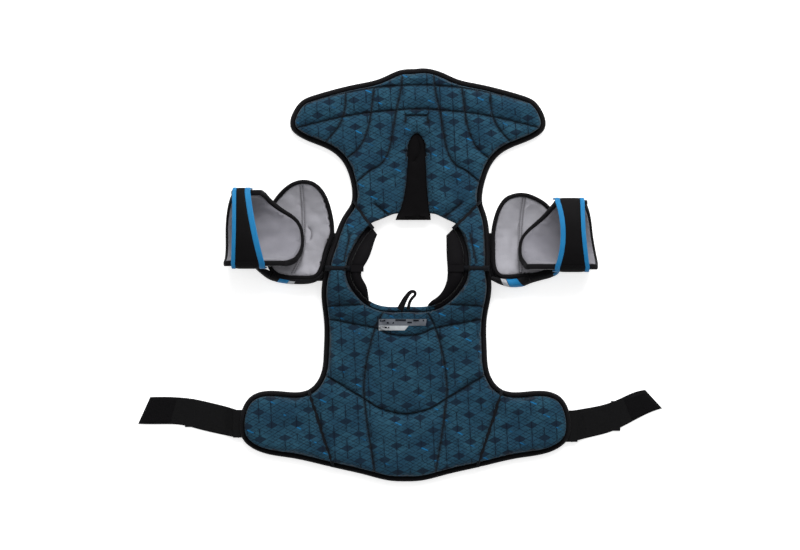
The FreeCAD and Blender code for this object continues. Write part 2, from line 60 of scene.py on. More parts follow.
SIDES = {"left": -1, "right": 1}
UP = Vector((0, 0, 1))

# ------------------------------------------------------------------ driving looks dimensions
LINER_RISE = 4.2 * MM       # how far quilted cells crown above the CAD liner surface
LINER_CELL = 9.0 * MM       # how fast a cell rises away from its seams
TRENCH_DEPTH = 3.2 * MM     # sewn channels, below the CAD surface
TRENCH_HALF = 1.6 * MM
LINER_SPREAD = 1.6 * MM     # the liner reaches this far over the binding
EDGE_DROP = 3.2 * MM        # the liner dips under the binding
SHEET_STEP = 4.6 * MM       # mesh size of the liner
PATTERN_W, PATTERN_H = 18.5 * MM, 10.0 * MM    # one printed rhombus
PATTERN_TURN = math.radians(3)
TAPE_W, TAPE_H = 8.4 * MM, 16.5 * MM           # torso binding
TAPE_LEVEL = -11.8 * MM     # its middle, from the CAD liner surface
STITCH_STEP = 3.4 * MM
STITCH_LENGTH = 2.3 * MM
STITCH_R = 0.38 * MM
SIM_FRAMES = 16
SIM_CAP = 2.4 * MM          # the cloth run moves no point further than this
FAR_SPREAD = (2.6, 3.6)     # how far the guards' far ends reach beyond the CAD, at the rims and at the middle

# The panels are centred on a line that leans a little: (y, x), in millimetres like all lists of points below
CENTRE_LINE = [(-60, 8), (10, 11), (110, 25.5), (150, 27)]
RIDGE_Y = 10.0
# The slit at the front of the neck, and the sewn channels, as half lines: (distance from the centre line, y)
SLIT = [(26, 80), (19.5, 108), (15.5, 135), (13.2, 175), (11.0, 200), (8.5, 207), (4.5, 211.5), (0, 213)]
SLIT_SHIFT = -2.0
SLIT_BOX = [(17, 229), (16, 239), (0, 239.6)]
YOKE_SEAM = [(96.5, 111), (60, 69.5)]
WING_FOLD = [(145.2, -173.5), (108.3, -288.5)]
CHEST_CHANNELS = [
    [(0, 285), (23, 284.5), (66, 281), (106, 274), (141, 266), (180, 254)],
    [(0, 249), (40, 247), (80, 243), (112, 237.5), (146, 230), (190, 219)],
    [(23, 304), (26, 277), (32, 249), (38, 215), (44, 186), (55, 167), (75, 154), (99, 133)],
    [(65, 288), (68.5, 260), (72, 234), (78, 211), (86, 195), (97, 183), (116, 168)],
    [(108, 279), (110.5, 246), (117, 227), (128.5, 211), (146, 192)],
    [(64, 106), (39, 86)],
]
BACK_CHANNELS = [
    [(30, -50), (44, -77), (53, -106), (59.5, -139), (62.5, -170), (61, -191), (55, -239), (45, -300)],
    [(0, -208), (19, -205.5), (40, -199), (62, -186), (98, -164), (126, -147)],
    [(0, -91), (24, -88), (44, -80), (80, -73), (120, -65)],
    [(48, -43), (120, -47)],
]
YOKE_CHANNEL = [(90, 60), (98.5, 20)]
YOKE_CENTRE = 15.0
CAP_SEAMS = {
    "left": [(-149.5, 146), (-148, 132), (-145.5, 92), (-146, 52), (-149.5, 30), (-154, 16), (-163, -1), (-167, -8)],
    "right": [(188, 128), (186.5, 116), (182.6, 86), (181, 58), (181, 20), (181.5, -6)],
}
CAP_DART = [(-137.5, 71), (-134, 67), (-132.5, 61), (-134, 54)]
# The roll beyond each cap's lower rim: its outer line, its thickness along the way, and its coloured patches as
# (kind, start and end along the roll, first and last angle round it, slant)
ROLLS = {
    "left": ([(-219, 11), (-209, 2), (-195, -7.5), (-176, -12), (-154, -14), (-134, -12.8), (-120, -7), (-112, 2)],
             [4, 11, 14, 12, 11, 11, 10, 6],
             [("blue", 36, 51, -1.3, 1.5, 3), ("white", 51.5, 61, -1.3, 1.3, 3)]),
    "right": ([(241, 14), (239.5, 4), (228, -3.5), (214, -7.5), (198, -12), (184, -17), (168, -18.2), (152, -15),
               (140, -9.5), (135, -7)],
              [6, 12, 13, 13, 14, 15, 15, 13, 10, 6],
              [("blue", 60, 80, -1.3, 2.3, 5), ("white", 81, 90, -1.3, 2.3, 5), ("blue", 12, 20, -1.3, 1.2, 0)]),
}
TORSO = {"back": "back", "chest": "chest", "left_yoke": "shoulders", "right_yoke": "shoulders",
         "left_wing": "left_wing", "right_wing": "right_wing"}


# ------------------------------------------------------------------ flat lines
def points_at(pairs):
    """Flat points from pairs of millimetres."""
    return [Vector((x * MM, y * MM)) for x, y in pairs]


def centre_line(y):
    """The torso's centre line at y, both in millimetres."""
    return float(np.interp(y, [p[0] for p in CENTRE_LINE], [p[1] for p in CENTRE_LINE]))


def ring_pairs(loop):
    return list(zip(loop, loop[1:] + loop[:1]))


def heading(line, i, closed=True):
    """The direction of a line at its point i."""
    before = line[i - 1] if closed or i else line[i]
    after = line[(i + 1) % len(line)] if closed or i < len(line) - 1 else line[i]
    return (after - before).normalized()


def right_of(along):
    return Vector((along.y, -along.x))


def turn_at(line, i):
    before, after = line[i] - line[i - 1], line[(i + 1) % len(line)] - line[i]
    if before.length < 1e-7 or after.length < 1e-7:
        return 0.0
    return before.angle(after)


def even_run(line, step):
    lengths = np.cumsum([0.0] + [(b - a).length for a, b in zip(line, line[1:])])
    wanted = np.linspace(0, lengths[-1], max(1, round(lengths[-1] / step)) + 1)
    axes = [np.interp(wanted, lengths, [p[k] for p in line]) for k in range(len(line[0]))]
    return [Vector(p) for p in zip(*axes)]


def resample(line, step, closed=False, corner=math.radians(32)):
    """A line at even steps, with its sharp corners kept."""
    if closed:
        turns = [i for i in range(len(line)) if turn_at(line, i) > corner]
        start = turns[0] if turns else 0
        line = line[start:] + line[:start] + [line[start]]
    stops = [0] + [i for i in range(1, len(line) - 1) if turn_at(line, i) > corner] + [len(line) - 1]
    out = []
    for a, b in zip(stops, stops[1:]):
        out += even_run(line[a:b + 1], step)[:-1]
    return out if closed else out + [line[-1].copy()]


def smooth_line(points, step):
    """A Catmull-Rom line through points, at even steps."""
    padded = [points[0] * 2 - points[1]] + points + [points[-1] * 2 - points[-2]]
    out = []
    for p0, p1, p2, p3 in zip(padded, padded[1:], padded[2:], padded[3:]):
        for i in range(8):
            t = i / 8
            out.append(0.5 * ((2 * p1) + (p2 - p0) * t + (2 * p0 - 5 * p1 + 4 * p2 - p3) * t * t
                              + (3 * p1 - p0 - 3 * p2 + p3) * t ** 3))
    return even_run(out + [points[-1]], step)


def even_out(loop, rounds=4):
    """A closed loop with its small bumps smoothed away."""
    for _ in range(rounds):
        loop = [(loop[i - 1] + p * 2 + loop[(i + 1) % len(loop)]) / 4 for i, p in enumerate(loop)]
    return loop


def drawn_in(loop, distance):
    """A closed smooth loop moved inwards."""
    return [p - right_of(heading(loop, i)) * distance for i, p in enumerate(loop)]


def tree_of(points):
    tree = kdtree.KDTree(max(1, len(points)))
    for i, p in enumerate(points):
        tree.insert((p[0], p[1], 0.0), i)
    tree.balance()
    return tree


def gap_to(tree, point):
    found = tree.find((point[0], point[1], 0.0))
    return found[2] if found[0] is not None else 1.0


def inside(outline, point):
    hit = False
    x, y = point[0], point[1]
    for a, b in ring_pairs(outline):
        if (a[1] > y) != (b[1] > y) and x < a[0] + (y - a[1]) * (b[0] - a[0]) / (b[1] - a[1]):
            hit = not hit
    return hit


def clipped(line, outline, keep_off=0.6 * MM):
    """The longest part of a line that lies inside an outline."""
    rim = tree_of(even_run(outline + outline[:1], 1.0 * MM))
    runs = [[]]
    for p in line:
        if inside(outline, p) and gap_to(rim, p) > keep_off:
            runs[-1].append(p)
        else:
            runs.append([])
    return max(runs, key=len)


def triangulate(outline, lines, step):
    """Flat points and triangles in an outline, with finer rows beside its inner lines and its rim."""
    points, edges = list(outline), []
    for line in lines:
        start = len(points)
        points += line
        edges += [(start + i, start + i + 1) for i in range(len(line) - 1)]
    beside = [(a, b, off * side) for line in lines for a, b in zip(line, line[1:])
              for off in (1.3 * MM, 3.0 * MM) for side in (1, -1)]
    beside += [(a, b, off) for a, b in ring_pairs(outline) for off in (1.5 * MM, 3.4 * MM)]
    fixed, rows = tree_of(points), []
    for a, b, off in beside:
        spot = (a + b) / 2 - right_of((b - a).normalized()) * off
        if gap_to(fixed, spot) > 0.8 * abs(off):
            rows.append(spot)
    points += rows
    taken = tree_of(points)
    low = Vector((min(p.x for p in outline), min(p.y for p in outline)))
    high = Vector((max(p.x for p in outline), max(p.y for p in outline)))
    rise = step * math.sqrt(3) / 2
    for j in range(int((high.y - low.y) / rise) + 1):
        for i in range(int((high.x - low.x) / step) + 1):
            spot = low + Vector(((i + 0.5 * (j % 2)) * step, j * rise))
            if gap_to(taken, spot) > 0.72 * step:
                points.append(spot)
    result = delaunay_2d_cdt(points, edges, [list(range(len(outline)))], 1, 1e-6)
    faces = [f for f in result[2] if len(f) == 3]
    used = sorted({i for f in faces for i in f})
    number = {old: new for new, old in enumerate(used)}
    flat = [Vector(result[0][i]) for i in used]
    out = []
    for f in faces:
        a, b, c = (number[i] for i in f)
        turn = (flat[b] - flat[a]).cross(flat[c] - flat[a])
        out.append((a, b, c) if turn > 0 else (a, c, b))
    return flat, out


# ------------------------------------------------------------------ reading the frame
def mesh_arrays(node):
    """Joined vertices and triangles of a CAD node."""
    mesh = frame["nodes"][node].data
    points = np.empty(len(mesh.vertices) * 3)
    mesh.vertices.foreach_get("co", points)
    mesh.calc_loop_triangles()
    triangles = np.empty(len(mesh.loop_triangles) * 3, int)
    mesh.loop_triangles.foreach_get("vertices", triangles)
    keys = np.round(points.reshape(-1, 3) * 2e5).astype(np.int64)
    _, first, inverse = np.unique(keys, axis=0, return_index=True, return_inverse=True)
    triangles = inverse.reshape(-1)[triangles].reshape(-1, 3)
    whole = (triangles != np.roll(triangles, 1, axis=1)).all(axis=1)
    return points.reshape(-1, 3)[first], triangles[whole]


def face_normals(points, triangles):
    a, b, c = (points[triangles[:, i]] for i in range(3))
    normals = np.cross(b - a, c - a)
    return normals / np.maximum(np.linalg.norm(normals, axis=1, keepdims=True), 1e-15)


def rim_loops(triangles):
    """Closed loops of vertex numbers round some triangles, the longest first."""
    edges = np.concatenate([triangles[:, [0, 1]], triangles[:, [1, 2]], triangles[:, [2, 0]]])
    present = {(int(a), int(b)) for a, b in edges}
    onward = {a: b for a, b in present if (b, a) not in present}
    loops = []
    while onward:
        start, step = onward.popitem()
        loop = [start]
        while step in onward:
            loop.append(step)
            step = onward.pop(step)
        loops.append(loop)
    return sorted(loops, key=len, reverse=True)


def upper_loops(node):
    """The rims of a node's upper faces, seen from above."""
    points, triangles = mesh_arrays(node)
    upper = triangles[face_normals(points, triangles)[:, 2] > 0.5]
    return [[Vector(points[i][:2]) for i in loop] for loop in rim_loops(upper)]


def top_outline(node, step):
    """The plan outlines of a node's upper faces, evenly stepped, with sharp corners kept."""
    loops = upper_loops(node)
    lengths = [sum((a - b).length for a, b in ring_pairs(loop)) for loop in loops]
    return [resample(loop, step, True) for loop, length in zip(loops, lengths) if length > 0.25 * max(lengths)]


def centre_of(node):
    low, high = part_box(node)
    return (low.x + high.x) / 2


def joint_spot(name):
    joint = next(j for j in frame["joints"] if j["name"] == name)
    return Vector(joint["pos_m"])


class Column:
    """The upper and lower surface of a CAD node, straight above flat points."""

    def __init__(self, node):
        points, triangles = mesh_arrays(node)
        self.tree = BVHTree.FromPolygons([Vector(p) for p in points], [tuple(int(i) for i in t) for t in triangles])

    def reach(self, p, direction):
        """The height of the first hit, looked for a little to the sides where the point just misses."""
        for size in (0, 0.2 * MM, 0.6 * MM, 1.5 * MM):
            for turn in range(8 if size else 1):
                x, y = p[0] + size * math.cos(turn * 0.785), p[1] + size * math.sin(turn * 0.785)
                hit = self.tree.ray_cast(Vector((x, y, -direction)), Vector((0, 0, direction)))[0]
                if hit is not None:
                    return hit.z
        return self.tree.find_nearest(Vector((p[0], p[1], 0.02)))[0].z

    def top(self, p, lift=0.0):
        return Vector((p[0], p[1], self.reach(p, -1) + lift))

    def bottom(self, p, lift=0.0):
        return Vector((p[0], p[1], self.reach(p, 1) - lift))


class Skin(Column):
    """The surface of a finished piece, straight above flat points."""

    def __init__(self, piece):
        self.tree = BVHTree.FromPolygons([v.co.copy() for v in piece.data.vertices],
                                         [tuple(p.vertices) for p in piece.data.polygons])


class Arm:
    """A bicep guard's tube: flat points are (x, arc length from the bottom), and lift goes towards the arm."""

    def __init__(self, side):
        self.sign = SIDES[side]
        joint = next(j for j in frame["joints"] if j["name"] == side + "_arm_band_open")
        self.spin = Matrix.Rotation(math.atan2(-joint["axis"][2], joint["axis"][0]), 3, "Y")
        points, triangles = mesh_arrays(side + "_bicep_shell")
        shell = self.level(points)
        self.y0 = (shell[:, 1].min() + shell[:, 1].max()) / 2
        self.outer_r = (shell[:, 1].max() - shell[:, 1].min()) / 2
        self.z0 = shell[:, 2].min() + self.outer_r
        foam = self.level(mesh_arrays(side + "_bicep_liner")[0])
        radii = np.hypot(foam[:, 1] - self.y0, foam[:, 2] - self.z0)
        self.inner_r, self.wall_r = radii.min(), radii.max()
        self.rim = self.unroll(shell, triangles)

    def level(self, points):
        return points @ np.array(self.spin)

    def unroll(self, points, triangles):
        """The outline of the shell's outer faces, with its far end spread."""
        middle = points[triangles].mean(axis=1)
        radial = np.stack([np.zeros(len(middle)), middle[:, 1] - self.y0, middle[:, 2] - self.z0], axis=1)
        radial /= np.linalg.norm(radial, axis=1, keepdims=True)
        outer = (face_normals(points, triangles) * radial).sum(axis=1) > 0.6
        flat = []
        for x, y, z in points[rim_loops(triangles[outer])[0]]:
            flat.append(Vector((x, self.outer_r * math.atan2(y - self.y0, self.z0 - z))))
        far = max(self.sign * p.x for p in flat)
        for p in flat:
            share = min(1.0, max(0.0, 1 - (far - self.sign * p.x) / (30 * MM)))
            reach = FAR_SPREAD[0] + FAR_SPREAD[1] * max(0.0, math.cos(p.y / self.outer_r))
            p.x += self.sign * reach * MM * share
        if sum(a.x * b.y - b.x * a.y for a, b in ring_pairs(flat)) < 0:
            flat.reverse()
        return even_out(resample(flat, 3.0 * MM, True), 10)

    def at(self, p, radius, reference):
        angle = p[1] / reference
        level = Vector((p[0], self.y0 + radius * math.sin(angle), self.z0 - radius * math.cos(angle)))
        return self.spin @ level

    def radial(self, p):
        angle = p[1] / self.outer_r
        return self.spin @ Vector((0, -math.sin(angle), math.cos(angle)))


# ------------------------------------------------------------------ making meshes
def make_object(name, vertices, faces, material, uv=None, sharp=38):
    mesh = bpy.data.meshes.new(name)
    mesh.from_pydata([tuple(v) for v in vertices], [], faces)
    mesh.polygons.foreach_set("use_smooth", [True] * len(mesh.polygons))
    mesh.set_sharp_from_angle(angle=math.radians(sharp))
    if uv is not None:
        layer = mesh.uv_layers.new(name="flat")
        corners = np.empty(len(mesh.loops), int)
        mesh.loops.foreach_get("vertex_index", corners)
        layer.data.foreach_set("uv", np.array([tuple(p[:2]) for p in uv])[corners].ravel())
    mesh.materials.append(material)
    obj = bpy.data.objects.new(name, mesh)
    bpy.context.scene.collection.objects.link(obj)
    return obj


def fit(piece, body, slot=None, node=None):
    """What a piece rides on, its material slot (not used), and the CAD node that it stands for."""
    if body:
        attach(piece, body)
    if node:
        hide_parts(node)
    return piece


def tube_faces(count, width, closed=False, start=0):
    """Faces over count rings of width points, with ends of quads (or one face each, where width is odd)."""
    faces = []
    for i in range(count if closed else count - 1):
        a, b = start + i * width, start + (i + 1) % count * width
        for k in range(width):
            n = (k + 1) % width
            faces.append((a + k, a + n, b + n, b + k))
    if not closed:
        end = tuple(range(width))
        quads = [end] if width % 2 else [(k, k + 1, width - 2 - k, width - 1 - k) for k in range(width // 2 - 1)]
        faces += [tuple(start + k for k in reversed(quad)) for quad in quads]
        faces += [tuple(start + (count - 1) * width + k for k in quad) for quad in quads]
    return faces


def tube(name, rings, uv, material, closed=False, sharp=38):
    """A closed skin over rings of points, facing outwards."""
    piece = make_object(name, sum(rings, []), tube_faces(len(rings), len(rings[0]), closed), material, uv, sharp)
    mesh = piece.data
    mesh.calc_loop_triangles()
    volume = 0.0
    for triangle in mesh.loop_triangles:
        a, b, c = (mesh.vertices[i].co for i in triangle.vertices)
        volume += a.dot(b.cross(c))
    if volume < 0:
        mesh.flip_normals()
    return piece


def sweep(name, path, ups, section, material, closed=True, scale=None):
    """A tube with a flat section along a path. Section points are (outwards, up)."""
    rings, uv, run = [], [], 0.0
    around = np.cumsum([0.0] + [math.dist(a, b) for a, b in zip(section, section[1:])])
    for i, p in enumerate(path):
        along = heading(path, i, closed)
        up = (ups[i] - along * ups[i].dot(along)).normalized()
        out = along.cross(up)
        size = scale[i] if scale else 1.0
        if i:
            run += (p - path[i - 1]).length
        rings.append([p + out * o * size + up * u * size for o, u in section])
        uv += [(run, v) for v in around]
    return tube(name, rings, uv, material, closed, sharp=50)


def rounded_section(width, height, power=2.6, points=18):
    """A section like a flattened tube, as a superellipse."""
    out = []
    for i in range(points):
        angle = 2 * math.pi * i / points
        c, s = math.cos(angle), math.sin(angle)
        out.append((math.copysign(abs(c) ** (2 / power), c) * width / 2,
                    math.copysign(abs(s) ** (2 / power), s) * height / 2))
    return out


def strip(name, near, far, thick, material, rows=12):
    """A soft strip whose upper surface spans two lines with as many points."""
    rings, uv = [], []
    for i in range(rows + 1):
        upper = [a.lerp(b, i / rows) for a, b in zip(near, far)]
        rings.append(upper + [p - UP * thick for p in reversed(upper)])
        uv += [(p.x, p.y) for p in rings[-1]]
    return tube(name, rings, uv, material)


def bridge(name, bodies, corners, height, thick, start, end, material):
    """A soft strip over a fold between four flat corners (two on each body), with its upper surface at height."""
    corners = [Vector((p.x, p.y, height)) for p in corners]
    near, far = ([a.lerp(b, k / 8) for k in range(9)] for a, b in (corners[:2], (corners[3], corners[2])))
    piece = strip(name, near, far, thick, material)
    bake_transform(piece)


def stitches(name, spots, material, body):
    """Short capsules of thread. Each spot is (middle, direction, up)."""
    rings = [(-0.5, 0.35), (-0.36, 0.9), (0.0, 1.15), (0.36, 0.9), (0.5, 0.35)]
    vertices, faces = [], []
    for middle, along, up in spots:
        side = along.cross(up).normalized()
        faces += tube_faces(len(rings), 5, start=len(vertices))
        for t, r in rings:
            for k in range(5):
                angle = 2 * math.pi * k / 5
                ring = side * math.cos(angle) + up * math.sin(angle) * 0.8
                vertices.append(middle + along * t * STITCH_LENGTH + ring * r * STITCH_R)
    fit(make_object(name, vertices, faces, material), body)


class Pad:
    """A closed soft piece over a flat outline: a crowned, quilted top and a rounded underside, with a painted shade
    value by its seams and rim.
    """

    def __init__(self, name, outline, top, bottom, material, lines=(), step=SHEET_STEP, rise=0.0, cell=LINER_CELL,
                 trench=0.0, edge=0.0, edge_r=2.4 * MM, under=0.0, under_r=5 * MM, ripple=0.0):
        self.name, self.material, self.outline, self.top_at = name, material, outline, top
        self.rise, self.cell, self.trench, self.edge, self.edge_r = rise, cell, trench, edge, edge_r
        self.lines = [line for line in lines if len(line) > 2]
        self.flat, self.faces = triangulate(outline, self.lines, step)
        self.rim = tree_of(even_run(outline + outline[:1], 1.0 * MM))
        self.seams = tree_of([p for line in self.lines for p in even_run(line, 0.8 * MM)])
        self.upper, self.lower, self.pins, self.painted_shade = [], [], [], []
        for i, p in enumerate(self.flat):
            to_rim, to_seam = gap_to(self.rim, p), gap_to(self.seams, p)
            wave = ripple * math.sin(p[0] * 190 + 2.3 * math.sin(p[1] * 130)) * min(1, to_rim / (8 * MM))
            self.upper.append(top(p, self.lift(to_rim, to_seam) + wave))
            turned = max(0.0, 1 - to_rim / under_r)
            self.lower.append(bottom(p, -under * (1 - math.sqrt(max(0.0, 1 - turned ** 2)))))
            if min(to_rim, to_seam) < 1.0 * MM:
                self.pins.append(i)
            # painted shade: darker in the sewn channels and along the rim, where the liner dips under the binding
            self.painted_shade.append(max(math.exp(-(to_seam / (1.7 * MM)) ** 2), 0.7 * math.exp(-to_rim / (2.2 * MM))))

    def lift(self, to_rim, to_seam):
        crown = self.rise * (1 - math.exp(-min(to_rim, to_seam) / self.cell))
        channel = self.trench * math.exp(-(to_seam / TRENCH_HALF) ** 2)
        return crown - channel - self.edge * math.exp(-to_rim / self.edge_r)

    def seam_spots(self, up):
        """Where the stitches of the seams lie, as stitches() takes them."""
        spots = []
        for line in self.lines:
            path = [self.top_at(p, self.lift(gap_to(self.rim, p), gap_to(self.seams, p)) + up)
                    for p in even_run(line, STITCH_STEP)]
            spots += [((a + b) / 2, (b - a).normalized(), UP) for a, b in zip(path, path[1:])]
        return spots

    def make(self):
        count = len(self.flat)
        faces = list(self.faces) + [tuple(i + count for i in reversed(f)) for f in self.faces]
        present = {(f[i], f[(i + 1) % 3]) for f in self.faces for i in range(3)}
        faces += [(b, a, a + count, b + count) for a, b in present if (b, a) not in present]
        made = make_object(self.name, self.upper + self.lower, faces, self.material, self.flat * 2)
        painted_shade = made.data.attributes.new("painted_seam_shade", "FLOAT", "POINT")
        painted_shade.data.foreach_set("value", np.array(self.painted_shade * 2, np.float32))
        return made


def simulate(pads):
    """One cloth run for the top sheets of all soft pads: sewn lines stay put, the cells swell and pucker."""
    vertices, faces, pins = [], [], []
    for pad in pads:
        start = len(vertices)
        vertices += pad.upper
        faces += [tuple(i + start for i in f) for f in pad.faces]
        pins += [start + i for i in pad.pins]
    sheet = make_object("cloth_run", vertices, faces, MATERIALS["thread"])
    sheet.vertex_groups.new(name="sewn").add(pins, 1.0, "REPLACE")
    cloth = sheet.modifiers.new("Cloth", "CLOTH")
    wanted = dict(quality=6, mass=0.12, tension_stiffness=12, compression_stiffness=12, shear_stiffness=4,
                  bending_stiffness=0.4, air_damping=3, vertex_group_mass="sewn", use_pressure=True,
                  uniform_pressure_force=1.2, shrink_min=-0.018)
    for key, value in wanted.items():
        setattr(cloth.settings, key, value)
    cloth.settings.effector_weights.gravity = 0
    cloth.collision_settings.use_collision = False
    cloth.point_cache.frame_end = SIM_FRAMES + 1
    for number in range(1, SIM_FRAMES + 1):
        bpy.context.scene.frame_set(number)
    shaped = sheet.evaluated_get(bpy.context.evaluated_depsgraph_get()).data
    moved = iter([v.co.copy() for v in shaped.vertices])
    bpy.data.objects.remove(sheet)
    bpy.context.scene.frame_set(1)
    for pad in pads:
        for i, point in enumerate(pad.upper):
            shift = next(moved) - point
            pad.upper[i] = point + shift * min(1.0, SIM_CAP / max(shift.length, 1e-9))


# ------------------------------------------------------------------ materials
class Value:
    """A shader value, for sums and products."""

    def __init__(self, shader, socket):
        self.shader, self.socket = shader, socket

    def __add__(self, other):
        return self.shader.math("ADD", self, other)

    def __sub__(self, other):
        return self.shader.math("SUBTRACT", self, other)

    def __rsub__(self, other):
        return self.shader.math("SUBTRACT", other, self)

    def __mul__(self, other):
        return self.shader.math("MULTIPLY", self, other)

    def __truediv__(self, other):
        return self.shader.math("DIVIDE", self, other)

    def __mod__(self, other):
        return self.shader.math("FLOORED_MODULO", self, other)


class Shader:
    """A small writer of node materials. Colours are screen values from 0 to 255."""

    def __init__(self, name):
        self.material = bpy.data.materials.new(name)
        self.material.use_nodes = True
        self.tree = self.material.node_tree
        self.tree.nodes.clear()
        self.surface = self.tree.nodes.new("ShaderNodeBsdfPrincipled")
        output = self.tree.nodes.new("ShaderNodeOutputMaterial")
        self.tree.links.new(self.surface.outputs[0], output.inputs[0])

    def put(self, socket, value):
        if isinstance(value, Value):
            self.tree.links.new(value.socket, socket)
        else:
            socket.default_value = value

    def node(self, kind, inputs, output, **settings):
        made = self.tree.nodes.new(kind)
        for key, value in settings.items():
            setattr(made, key, value)
        for key, value in inputs.items():
            self.put(made.inputs[key], value)
        return Value(self, made.outputs[output])

    def math(self, operation, a, b=0.0, c=0.0):
        return self.node("ShaderNodeMath", {0: a, 1: b, 2: c}, 0, operation=operation)

    def most(self, a, b):
        return self.math("MAXIMUM", a, b)

    def over(self, value, limit):
        return self.math("GREATER_THAN", value, limit)

    def mix(self, share, a, b):
        a, b = (c if isinstance(c, Value) else rgb(*c) for c in (a, b))
        return self.node("ShaderNodeMix", {"Factor": share, 6: a, 7: b}, 2, data_type="RGBA")

    def flat(self):
        """The piece's own flat coordinates, in metres."""
        uv = self.node("ShaderNodeUVMap", {}, 0, uv_map="flat")
        return uv, self.node("ShaderNodeSeparateXYZ", {0: uv}, 0), self.node("ShaderNodeSeparateXYZ", {0: uv}, 1)

    def noise(self, where, scale, detail=2.0, roughness=0.5):
        return self.node("ShaderNodeTexNoise", {"Vector": where, "Scale": scale, "Detail": detail,
                                                "Roughness": roughness}, "Fac")

    def chance(self, a, b):
        """A number from 0 to 1 for each pair of whole numbers."""
        pair = self.node("ShaderNodeCombineXYZ", {0: self.math("FLOOR", a), 1: self.math("FLOOR", b)}, 0)
        return self.node("ShaderNodeTexWhiteNoise", {"Vector": pair}, "Value")

    def ramp(self, value, low, high):
        return self.node("ShaderNodeMapRange", {"Value": value, "From Min": low, "From Max": high}, 0,
                         interpolation_type="SMOOTHSTEP")

    def wave(self, value, pitch):
        """A smooth 0 to 1 wave of a length in metres."""
        return self.math("SINE", value * (2 * math.pi / pitch)) * 0.5 + 0.5

    def lines(self, value, half):
        """1 near whole numbers of value."""
        off = self.math("ABSOLUTE", value - self.math("ROUND", value))
        return 1.0 - self.ramp(off, half * 0.6, half * 1.5)

    def seams(self, share, color, dark):
        """A colour with painted shade along sewn seams and rims, where the channels and the dip under the binding
        lie in shadow.
        """
        painted_shade = self.node("ShaderNodeAttribute", {}, "Fac", attribute_name="painted_seam_shade")
        return self.mix(painted_shade * share, color, dark)

    def finish(self, color, roughness, height, distance=0.3 * MM, strength=0.6, **settings):
        bump = self.node("ShaderNodeBump", {"Height": height, "Strength": strength, "Distance": distance}, 0)
        for key, value in (("Base Color", color), ("Roughness", roughness), ("Normal", bump)):
            self.put(self.surface.inputs[key], value)
        for key, value in settings.items():
            self.surface.inputs[key.replace("_", " ")].default_value = value
        return self.material


def rgb(r, g, b):
    """A colour given in screen values from 0 to 255."""
    def linear(v):
        v /= 255
        return v / 12.92 if v <= 0.04045 else ((v + 0.055) / 1.055) ** 2.4
    return (linear(r), linear(g), linear(b), 1.0)


def printed_liner():
    """Knit printed with an isometric line pattern, dark rhombi and a few bright dashes."""
    s = Shader("printed_liner")
    uv, x, y = s.flat()
    cos, sin = math.cos(PATTERN_TURN), math.sin(PATTERN_TURN)
    across, along = (x * cos + y * sin) / PATTERN_W, (y * cos - x * sin) / PATTERN_H
    a, b = along + across, along - across
    fine_chance, cell_chance = s.chance(a * 2.0, b * 2.0), s.chance(a, b)
    coarse = s.most(s.lines(a, 0.05), s.lines(b, 0.05))
    fine = s.most(s.lines(a * 2.0, 0.085), s.lines(b * 2.0, 0.085)) * s.over(fine_chance, 0.42)
    upright = s.lines(across, 0.05) * s.over(cell_chance, 0.35)
    i, j = s.math("FLOOR", a), s.math("FLOOR", b)
    rhombus = s.math("LESS_THAN", (i + j * 5.0) % 8.0, 0.5) * s.over(cell_chance, 0.12)
    dash = s.math("COMPARE", (s.math("ROUND", a) + j * 5.0) % 16.0, 11.0, 0.4) * s.lines(a, 0.09)
    dash = dash * s.ramp(s.noise(uv, 60.0), 0.42, 0.6)
    knit = s.wave(x, 1.3 * MM) * s.wave(y, 1.1 * MM)
    broken = s.most(s.most(coarse, fine), upright) * s.ramp(s.noise(uv, 240.0, 3.0), 0.2, 0.6)
    color = s.mix(s.ramp(s.noise(uv, 26.0, 3.0), 0.3, 0.7), (18, 54, 74), (31, 70, 88))
    for share, tone in ((fine_chance * 0.35, (12, 41, 60)), (knit * 0.25, (66, 98, 120)),
                        (broken * 0.88, (3, 13, 26)), (rhombus * 0.78, (6, 18, 34)), (dash * 0.8, (10, 104, 158))):
        color = s.mix(share, color, tone)
    # painted shade, dark blue, in the sewn channels and along the binding
    color = s.seams(0.82, color, (3, 8, 16))
    fuzz = s.noise(uv, 1500.0)
    return s.finish(color, fuzz * 0.16 + 0.76, knit + fuzz * 0.8, 0.25 * MM, 0.5, Sheen_Weight=0.06,
                    Sheen_Roughness=0.5, Specular_IOR_Level=0.12)


def spacer_mesh(name, light, dim):
    """Grey spacer mesh: fine courses and small holes."""
    s = Shader(name)
    uv, x, y = s.flat()
    pitch = 1.9 * MM
    stagger = s.math("FLOOR", y / pitch) % 2.0 * (pitch / 2)
    dark = s.ramp(s.wave(y, pitch) * s.wave(x + stagger, pitch), 0.5, 0.95)
    tone = s.mix(s.ramp(s.noise(uv, 22.0, 3.0), 0.3, 0.75), dim, light)
    # painted shade, dark grey, along the cap seams and the rims
    color = s.seams(0.5, s.mix(dark * 0.42, tone, (92, 91, 96)), (40, 38, 42))
    return s.finish(color, 0.85, s.noise(uv, 900.0) * 0.4 - dark, 0.35 * MM, 0.6, Sheen_Weight=0.2,
                    Specular_IOR_Level=0.2)


def ribbed(name, color, worn, pitch, roughness=0.7, across=False, sheen=0.02, depth=0.3, shine=0.1):
    """Tape or webbing with fine ribs across or along it. Pitch and depth are in millimetres."""
    s = Shader(name)
    uv, x, y = s.flat()
    rib, weave = s.wave(y if across else x, pitch * MM), s.wave(x if across else y, pitch * 0.8 * MM)
    cloud = s.noise(uv, 60.0, 3.0)
    tone = s.mix(rib * weave * s.ramp(cloud, 0.2, 0.8), color, worn)
    return s.finish(tone, cloud * 0.15 + (roughness - 0.08), rib + weave * 0.5, depth * MM, 0.55,
                    Sheen_Weight=sheen, Specular_IOR_Level=shine)


